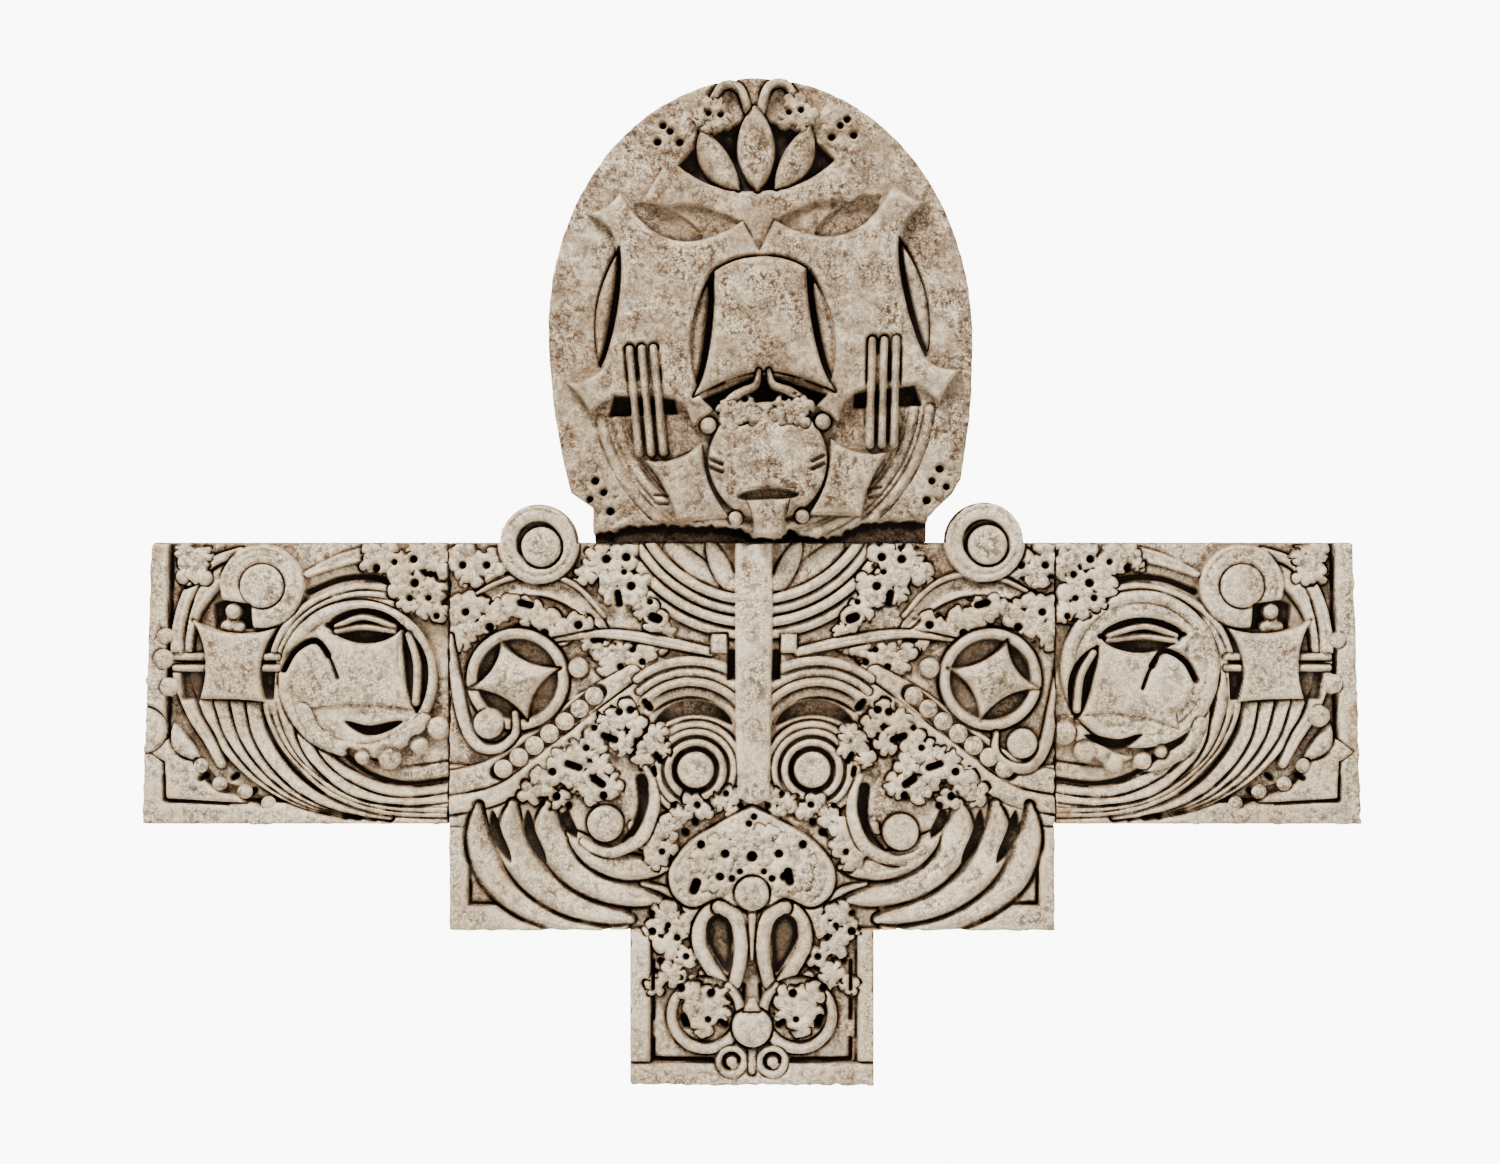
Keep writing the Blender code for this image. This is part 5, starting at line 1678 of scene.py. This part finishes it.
        shift = x - self.axis
        upper = [
            (87, 915, 14), (70, 926, 13), (84, 945, 14), (66, 958, 12), (80, 974, 13), (97, 986, 10),
            (52, 984, 12),
        ]
        upper += [(98, 930, 10), (60, 912, 10), (68, 990, 10)]
        eyes = [
            (100, 914, 3), (100, 932, 3.8), (75, 938, 3), (66, 957, 3), (72, 988, 3.6), (92, 962, 3),
            (84, 926, 2.6),
        ]
        moved = [(a + side * shift, b, r) for a, b, r in upper]
        self.set_foliage(carving, side, moved, [(e[0] + side * shift, *e[1:]) for e in eyes], PROUD, 41)
        carving.slit(out([(99, 962), (99, 990)]), 3.5, GROUND)
        carving.slit(out([(99, 1000), (99, 1020)]), 3.5, GROUND)
        carving.slit(out([(99, 1040), (99, 1060), (40, 1061)]), 3.5, GROUND)
        opening = out(
            smooth([(33, 914), (21, 926), (20, 948), (24, 974), (38, 956), (46, 936), (43, 920), (33, 914)])
        )
        outer = smooth([(10, 920), (33, 908), (50, 922), (53, 944), (42, 968), (26, 990), (17, 1004)])
        inner = smooth([(33, 908), (18, 916), (11, 940), (12, 962), (17, 984)])
        for path in (outer, inner):
            carving.band(out(path), (14, 15, 14, 13, 12), HIGH, Profile.ROUND, 5.0, moat=2.2, floor=GROUND)
        carving.recess(opening, GROUND, 6.0)
        for a, b in ((8, 992), (20, 996), (31, 994)):
            carving.slit(out([(a, b - 6), (a + 1, b + 8)]), 3.0, GROUND)
        cx, cy = 47.0, 1015.0
        carving.disc(x + side * cx, cy, 37, MIDDLE, dome=4.0, moat=2.4, floor=GROUND)
        carving.band(
            out(spiral(cx, cy, (36, 33), 130, 290)), (8, 10, 11, 10, 8), PROUD, Profile.ROUND, 3.0,
            moat=1.8, floor=GROUND,
        )
        star = [
            (cx, 1006, 17), (cx + 12, 996, 13), (cx - 12, 1000, 13), (cx + 2, 1024, 13),
            (cx + 14, 1012, 10), (cx - 14, 1014, 10),
        ]
        eyes = [
            (cx + 20, 1022, 3.6, 4, 70), (cx - 3, 1020, 2.8), (cx - 6, 994, 4), (cx + 24, 989, 3.8),
            (cx - 18, 1024, 3, 3, 40),
        ]
        moved = [(a + side * shift, b, r) for a, b, r in star]
        self.set_foliage(carving, side, moved, [(e[0] + side * shift, *e[1:]) for e in eyes], HIGH, 43)
        carving.ring(x + side * 20.5, 1062, 16, 9, PROUD, relief=2.0, moat=1.4, floor=LOW)
        carving.slit(arc(x + side * 20.5, 1062, 8, 20, 250), 3.0, GROUND)
        carving.disc(x + side * 20.5, 1062, 5.5, PROUD, dome=2.0, moat=0)

    def outline(self, half: float, foot: float) -> tuple[list[Point], list[tuple[Point, Point]]]:
        """The block's edge on the sheet, with its ears, and the foot of each ear."""

        def on_sheet(x: float, z: float) -> Point:
            return (SHEET_AXIS + x / MINUTE, SHEET_LEVEL - z / MINUTE)

        level = on_sheet(0, self.top)[1]
        ears = []
        outline = [on_sheet(-half, -self.top), on_sheet(-half, self.top)]
        for side in (-1, 1):
            x, y = self.ear_centre(side)
            reach = math.sqrt(self.ear_radius**2 - (y - level) ** 2)
            start = math.degrees(math.atan2(y - level, -reach))
            end = math.degrees(math.atan2(y - level, reach))
            outline += arc(x, y, self.ear_radius, start if start > 0 else start + 360, end, 28)
            ears.append(((x - reach, level), (x + reach, level)))
        outline += [
            on_sheet(half, self.top), on_sheet(half, -self.top), on_sheet(self.pendant_half, -self.top)
        ]
        outline += [on_sheet(self.pendant_half, foot), on_sheet(-self.pendant_half, foot)]
        outline.append(on_sheet(-self.pendant_half, -self.top))
        return outline, ears

    def build(self, material: bpy.types.Material) -> bpy.types.Object:
        """Builds the centre block in place of its solid.

        Args:
            material: The finish.

        Returns:
            The block.
        """
        low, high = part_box(self.node)
        outline, ears = self.outline(high.x, low.z)
        columns, rows = pocket_spans(-high.x, high.x, even=True), pocket_spans(
            -self.top, self.top, even=True
        )
        pockets = [(a, b, c, d) for a, b in columns for c, d in rows]
        columns = pocket_spans(-self.pendant_half, self.pendant_half, even=True)
        rows = pocket_spans(low.z, -self.top + OUTER_WALL - WEB / 2)
        pockets += [(a, b, c, d) for a, b in columns for c, d in rows]
        mesher = BlockMesh(self.carve(), outline, GROUND_DEPTH, pockets, ears=ears, seed=self.seed)
        return settle(mesher, self.node, (), material, self.tone)


@dataclass
class HeadBlock:
    """The oval head, set out about its own centre and leaning a little."""

    node: str = "head_block"
    centre: Point = (762.5, 335.0)
    lean: float = 0.035
    low: Point = (546.0, 74.0)
    high: Point = (978.0, 546.0)
    rim: float = 30.0
    width: float = 0.560
    rise: float = 0.337
    fall: float = 0.275
    offset: float = 0.011
    tone: float = 0.40
    tallest: float = 55.8
    seed: int = 51

    def at(self, points: Path) -> list[Point]:
        """Points given about the head's own centre, x to the right and z up, on the sheet."""
        cx, cy = self.centre
        return [(cx + x - self.lean * z, cy - z - self.lean * x) for x, z in points]

    def both(self, right: Sequence[tuple[float, float, float]]) -> list[Point]:
        """A closed outline from its right half, given from the top down, each dent bowing outwards."""
        half = sagging([(x, -z, -dent) for x, z, dent in right], closed=False)
        whole = half + [(-x, y) for x, y in half[::-1] if x > 0.01]
        return self.at([(x, -y) for x, y in whole])

    def carve(self) -> Carving:
        """Carves the head's face."""
        carving = Carving(self.low, self.high, level=self.rim)
        rim = self.rim
        low, raised, bold = rim + 9, rim + 16, rim + 21
        for radius, depth in ((166, 3.0), (150, 3.0), (136, 2.0)):
            bowl = self.at([(x, -y - 56) for x, y in arc(0, 0, radius, -172, -8, 60)])
            carving.band(bowl, 9, rim + depth, Profile.ROUND, 3.0, moat=2.0, floor=rim - 7)
        saddle = [(0, 143, 9), (80, 163, -2), (92, 172, 0), (127, 117, -17), (17, 111, 0), (0, 84, 0)]
        carving.plate(self.both(saddle), low, drop=1.0, moat=1.5, floor=rim - 3)
        carving.recess(self.both([(0, 214, 9), (78, 172, 9), (0, 144, 0)]), DEEP)
        for side in (-1, 1):
            lens = self.at([(x * side, z) for x, z in smooth([(121, 133), (92, 110), (58, 99)])])
            carving.slot(lens, 17, rim - 6, 0.6)
        bat = [
            (0, 83, 0), (16, 113, -34), (137, 146, -5), (171, 126, -7), (143, 92, -6), (160, -28, -5),
            (197, -42, -3),
        ]
        bat += [
            (174, -75, -7), (137, -60, 0), (101, -58, -7), (73, -90, 0), (52, -74, 0), (60, -50, 0),
            (0, -40, 0),
        ]
        carving.plate(self.both(bat), raised, drop=1.5, moat=1.5, floor=rim - 4)
        carving.recess(self.both([(0, -40, 0), (62, -62, 0), (44, -80, 0), (0, -80, 0)]), DEEP - 5)
        bell = [(0, 77, 4), (46, 64, -2), (52, 4, -4), (71, -60, -4), (0, -36, 0)]
        carving.plate(self.both(bell), bold + 3, drop=2.0, reach=8, bow=1.0)
        carving.disc(*self.at([(1, -126)])[0], 59, bold - 1, dome=1.5, moat=2.2, floor=rim - 6)
        tongue = [(0, -152, 0), (27, -155, -4), (15, -200, 0), (0, -203, 0)]
        carving.plate(self.both(tongue), bold + 4, drop=1.5, moat=1.2, floor=rim + 8)
        carving.slot(self.at([(-29, -161), (0, -159), (29, -161)]), 6, rim + 4, 0.4)
        for side in (-1, 1):
            self.carve_side(carving, side, bold)
        carving.pod(self.at([(0, 145), (0, 226)]), 19, rim + 13, 9.0, blunt=0.6, floor=DEEP, moat=2.0)
        self.carve_foot(carving)
        carving.weather(self.seed, 0.5)
        np.minimum(carving.height, self.tallest, out=carving.height)
        return carving

    def carve_side(self, carving: Carving, side: int, bold: float) -> None:
        """One side of the head."""
        rim = self.rim

        def at(points: Path) -> list[Point]:
            return self.at([(x * side, z) for x, z in points])

        carving.slot(at(smooth([(49, 62), (60, 6), (66, -50)])), 10, DEEP)
        carving.pod(at(smooth([(53, 52), (64, 6), (68, -42)])), 7, rim + 6, 5.0, moat=0)
        carving.slot(at(smooth([(140, 92), (154, 34), (163, -26)])), 11, DEEP + 4)
        carving.pod(at(smooth([(143, 84), (157, 34), (164, -20)])), 7, rim + 5, 5.0, moat=0)
        for level in (-126, -134):
            carving.slit(at([(45, level - 2), (56, level + 3)]), 3.8, rim + 6)
        ledge = [(90, -62), (150, -56), (156, -76), (88, -76)]
        carving.recess(at(ledge), DEEP)
        for top, foot in ((109, 103), (121, 115), (133, 127)):
            bar = at([(top, -10), ((top + foot) / 2, -62), (foot, -114)])
            carving.band(bar, 7.6, bold + 1, Profile.ROUND, 4.0, moat=2.4, floor=rim - 8)
        carving.disc(*at([(121, 16)])[0], 15, bold - 2, dome=4.0, moat=0)
        hide = sagging([(64, 106, 8), (122, 121, 5), (92, 184, 0), (40, 181, 7)])
        carving.plate(at([(x, -y) for x, y in hide]), bold - 3, drop=1.5, moat=2.0, floor=rim - 6)
        carving.disc(*at([(57, -89)])[0], 8, bold, dome=4.0)
        carving.disc(*at([(27, -72)])[0], 17, bold - 6, dome=5.0, moat=2.0, floor=DEEP)
        carving.pod(
            at(smooth([(19, 146), (40, 172), (54, 205)])), 15, rim + 12, 8.0, blunt=0.6, floor=DEEP,
            moat=2.0,
        )
        stem = at(smooth([(6, 222), (14, 246), (30, 250), (40, 238)]))
        carving.band(stem, (8, 9, 8, 8), bold - 4, Profile.REEDS, 2.0, 2)
        curl = at(smooth([(5, -36), (9, -50), (24, -57), (40, -68)]))
        carving.band(curl, (5, 8, 10, 8), bold - 2, moat=1.2, floor=DEEP)
        masses = (
            (
                [(40, 226, 13), (52, 218, 10), (33, 214, 9), (45, 210, 9)],
                [(46, 222, 2.4), (34, 220, 2.4)], bold - 4,
            ),
            (
                [(80, 205, 12), (92, 196, 11), (70, 214, 10), (98, 208, 9), (84, 190, 9)],
                [(92, 212, 3), (85, 206, 3), (98, 196, 3.4), (76, 195, 3.2)], rim + 5,
            ),
            (
                [(160, -165, 13), (174, -150, 12), (178, -134, 10), (150, -178, 11), (166, -182, 10)],
                [(158, -171, 3.6), (172, -140, 3.4), (164, -152, 3), (178, -158, 2.8)], rim + 6,
            ),
            (
                [(40, -72, 9), (27, -76, 13), (36, -86, 9), (15, -80, 10), (14, -68, 6)], [(20, -64, 2.6)],
                bold - 1,
            ),
        )
        for lobes, eyes, level in masses:
            placed = [(*at([(a, b)])[0], size) for a, b, size in lobes]
            drilled = [(*at([(a, b)])[0], size) for a, b, size in eyes]
            carving.foliage(placed, drilled, level, 4.0, 1.0, rim - 2, self.seed + len(lobes))
        for level in (-158, -166):
            carving.slit(at([(100, level), (113, level + 2)]), 2.6, rim - 8)
        carving.disc(*at([(33, -182)])[0], 7, bold - 3, dome=3.0)

    def carve_foot(self, carving: Carving) -> None:
        """The broken lower edge, with the set-back foot behind it."""
        broken = [
            (540, 470), (565, 494), (567, 498), (577, 501), (592, 535), (617, 530), (638, 524), (672, 525),
            (724, 527),
        ]
        broken += [
            (741, 527), (754, 538), (781, 538), (790, 530), (801, 535), (810, 538), (833, 537), (847, 530),
            (870, 522),
        ]
        broken += [(936, 521), (958, 505), (970, 498), (990, 490), (990, 560), (540, 560)]
        distance = carving.outline_distance(carving.whole(), broken)
        distance += 1.5 * cloud(carving.height.shape, 5.0, self.seed)
        floor = -26.0 + 2.5 * cloud(carving.height.shape, 6.0, self.seed + 2)
        carving.sink(carving.whole(), distance, floor, wall=1.2)

    def outline(self, seat: float) -> list[Point]:
        """The head's edge on the sheet, with its foot."""
        origin = (self.offset, seat + self.fall)
        half, turn = self.width / 2, math.radians(2.0)

        def place(x: float, z: float) -> Point:
            across = origin[0] + x * math.cos(turn) - z * math.sin(turn)
            up = origin[1] + x * math.sin(turn) + z * math.cos(turn)
            return (SHEET_AXIS + across / MINUTE, SHEET_LEVEL - up / MINUTE)

        outline = []
        for i in range(91):
            angle = math.radians(203.0 - 226.0 * i / 90)
            reach = self.rise if math.sin(angle) > 0 else self.fall * 1.87
            outline.append(place(half * math.cos(angle), reach * math.sin(angle)))
        level = SHEET_LEVEL - seat / MINUTE
        left, right = (SHEET_AXIS + (origin[0] + s * self.width * 0.395) / MINUTE for s in (-1, 1))
        outline += [place(half * 0.88, self.fall * -0.80), place(half * 0.80, self.fall * -0.87)]
        outline += [(right, level - 24), (right, level), (left, level), (left, level - 34)]
        return outline

    def build(self, material: bpy.types.Material) -> bpy.types.Object:
        """Builds the head in place of its solid.

        Args:
            material: The finish.

        Returns:
            The block.
        """
        low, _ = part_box(self.node)
        seat = low.z
        middle = seat + self.fall
        foot_half = self.width * 0.395 + OUTER_WALL
        reach = self.width / 2 - OUTER_WALL
        pockets = []
        for a, b in pocket_spans(self.offset - foot_half, self.offset + foot_half, even=True):
            for c, d in pocket_spans(seat, middle + self.rise):
                rises = [(z - middle) / (self.rise - OUTER_WALL) for z in (c, d)]
                if all(h < 0 or ((x - self.offset) / reach) ** 2 + h**2 < 1 for x in (a, b) for h in rises):
                    pockets.append((a, b, c, d))
        mesher = BlockMesh(
            self.carve(), self.outline(seat), HEAD_GROUND_DEPTH, pockets, seed=self.seed, wear=0.6
        )
        return settle(mesher, self.node, (), material, self.tone)


@dataclass(frozen=True)
class Lamp:
    """A soft square light that is turned to the object."""

    name: str
    place: tuple[float, float, float]
    size: float
    power: float  # in watts


@dataclass
class Studio:
    """Plain pale floor, soft light from the front and above, and the camera."""

    distance: float = 4.675
    face_depth: float = 0.104
    look: Point = (-0.0026, 0.2046)
    floor_level: float = -1.25
    room_light: float = 0.55
    backdrop: float = 9.0  # added where the camera sees the room itself
    lamps: tuple[Lamp, ...] = (
        Lamp("key", (-1.5, -2.4, 4.2), 1.1, 560.0),
        Lamp("fill", (2.6, -3.6, 1.2), 2.4, 55.0),
    )

    def build(self) -> None:
        """Sets up floor, lights, world and camera."""
        scene = bpy.context.scene
        world = bpy.data.worlds.new("pale room")
        world.use_nodes = True
        maker = GroupMaker(world.node_tree)
        seen = maker.node("ShaderNodeLightPath").outputs["Is Camera Ray"]
        room = world.node_tree.nodes["Background"]
        room.inputs["Color"].default_value = (1.0, 0.99, 0.97, 1.0)
        strength = maker.maths("MULTIPLY_ADD", seen, self.backdrop, self.room_light)
        world.node_tree.links.new(strength, room.inputs["Strength"])
        scene.world = world
        mesh = bpy.data.meshes.new("floor")
        z = self.floor_level
        mesh.from_pydata([(-4, -4, z), (4, -4, z), (4, 2.2, z), (-4, 2.2, z)], [], [(0, 1, 2, 3)])
        floor = bpy.data.objects.new("floor", mesh)
        scene.collection.objects.link(floor)
        paint = bpy.data.materials.new("pale floor")
        paint.use_nodes = True
        shader = paint.node_tree.nodes["Principled BSDF"]
        shader.inputs["Base Color"].default_value = (0.8, 0.8, 0.79, 1.0)
        shader.inputs["Roughness"].default_value = 0.9
        mesh.materials.append(paint)
        for lamp in self.lamps:
            data = bpy.data.lights.new(lamp.name, "AREA")
            data.size = lamp.size
            data.energy = lamp.power
            light = bpy.data.objects.new(lamp.name, data)
            light.location = lamp.place
            aim = Vector((self.look[0], 0.0, self.look[1])) - light.location
            light.rotation_euler = aim.to_track_quat("-Z", "Y").to_euler()
            scene.collection.objects.link(light)
        data = bpy.data.cameras.new("camera")
        data.lens = 85.0
        data.sensor_width = 36.0
        camera = bpy.data.objects.new("camera", data)
        camera.location = (self.look[0], -self.face_depth - self.distance, self.look[1])
        camera.rotation_euler = (math.radians(90), 0.0, 0.0)
        scene.collection.objects.link(camera)
        scene.camera = camera


def left_wing() -> WingBlock:
    """The left wing, with its own setting out."""
    return WingBlock(
        "left_wing",
        -1,
        (357.0, 679.0),
        [(315, 629, 13), (405, 619, 15), (421, 711, 6), (301, 709, 12)],
        [(361.5, 757, 8), (389, 758, 12), (437, 728, 11), (418, 745, 9)],
        [(165, 636, 8), (163, 659, 10), (169, 687, 9.5)],
        [Patch(156, 548, 12, 9), Patch(147, 600, 8, 30, 0.7), Patch(233, 820, 8, 5, 0.6)],
    )


def right_wing() -> WingBlock:
    """The right wing, with its own setting out."""
    return WingBlock(
        "right_wing",
        1,
        (363.0, 669.0),
        [(307, 630, 13), (407, 637, 12), (432, 718, 10), (325, 729, 12)],
        [(439, 733, 12), (418, 751, 11), (390, 763, 10), (360, 761, 9), (342, 752, 7)],
        [(171, 684, 10), (184, 716, 11), (166, 640, 8)],
        [Patch(440, 818, 16, 12), Patch(148, 740, 9, 40, 0.7)],
        seed=23,
        half_disc=False,
    )


def bead_rows() -> list[BeadRow]:
    """The rows of coins and beads."""
    rows = []
    for side, name in ((-1, "left"), (1, "right")):
        coins = smooth([(754 + side * x, y) for x, y in ((160, 696), (184, 717), (215, 742), (251, 769))])
        rows.append(BeadRow(f"{name}_coins", coins, 7, 9.4, PROUD - 0.5, 7.0))
        beads = smooth([(200, 766), (214, 782), (240, 790), (268, 804)])
        rows.append(BeadRow(f"{name}_foot_beads", beads, 4, 7.6, PROUD, 12.0, -side))
    return rows


def main() -> None:
    """Loads the frame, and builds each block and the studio."""
    logging.basicConfig(level=logging.INFO)
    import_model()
    material = WeatheredTerracottaAndShade().make()
    for block in (left_wing(), right_wing(), CentreBlock(), HeadBlock(), *bead_rows()):
        made = block.build(material)
        made.data.calc_loop_triangles()
        LOG.info("%s: %d triangles", made.name, len(made.data.loop_triangles))
    Studio().build()


if __name__ == "__main__":
    main()
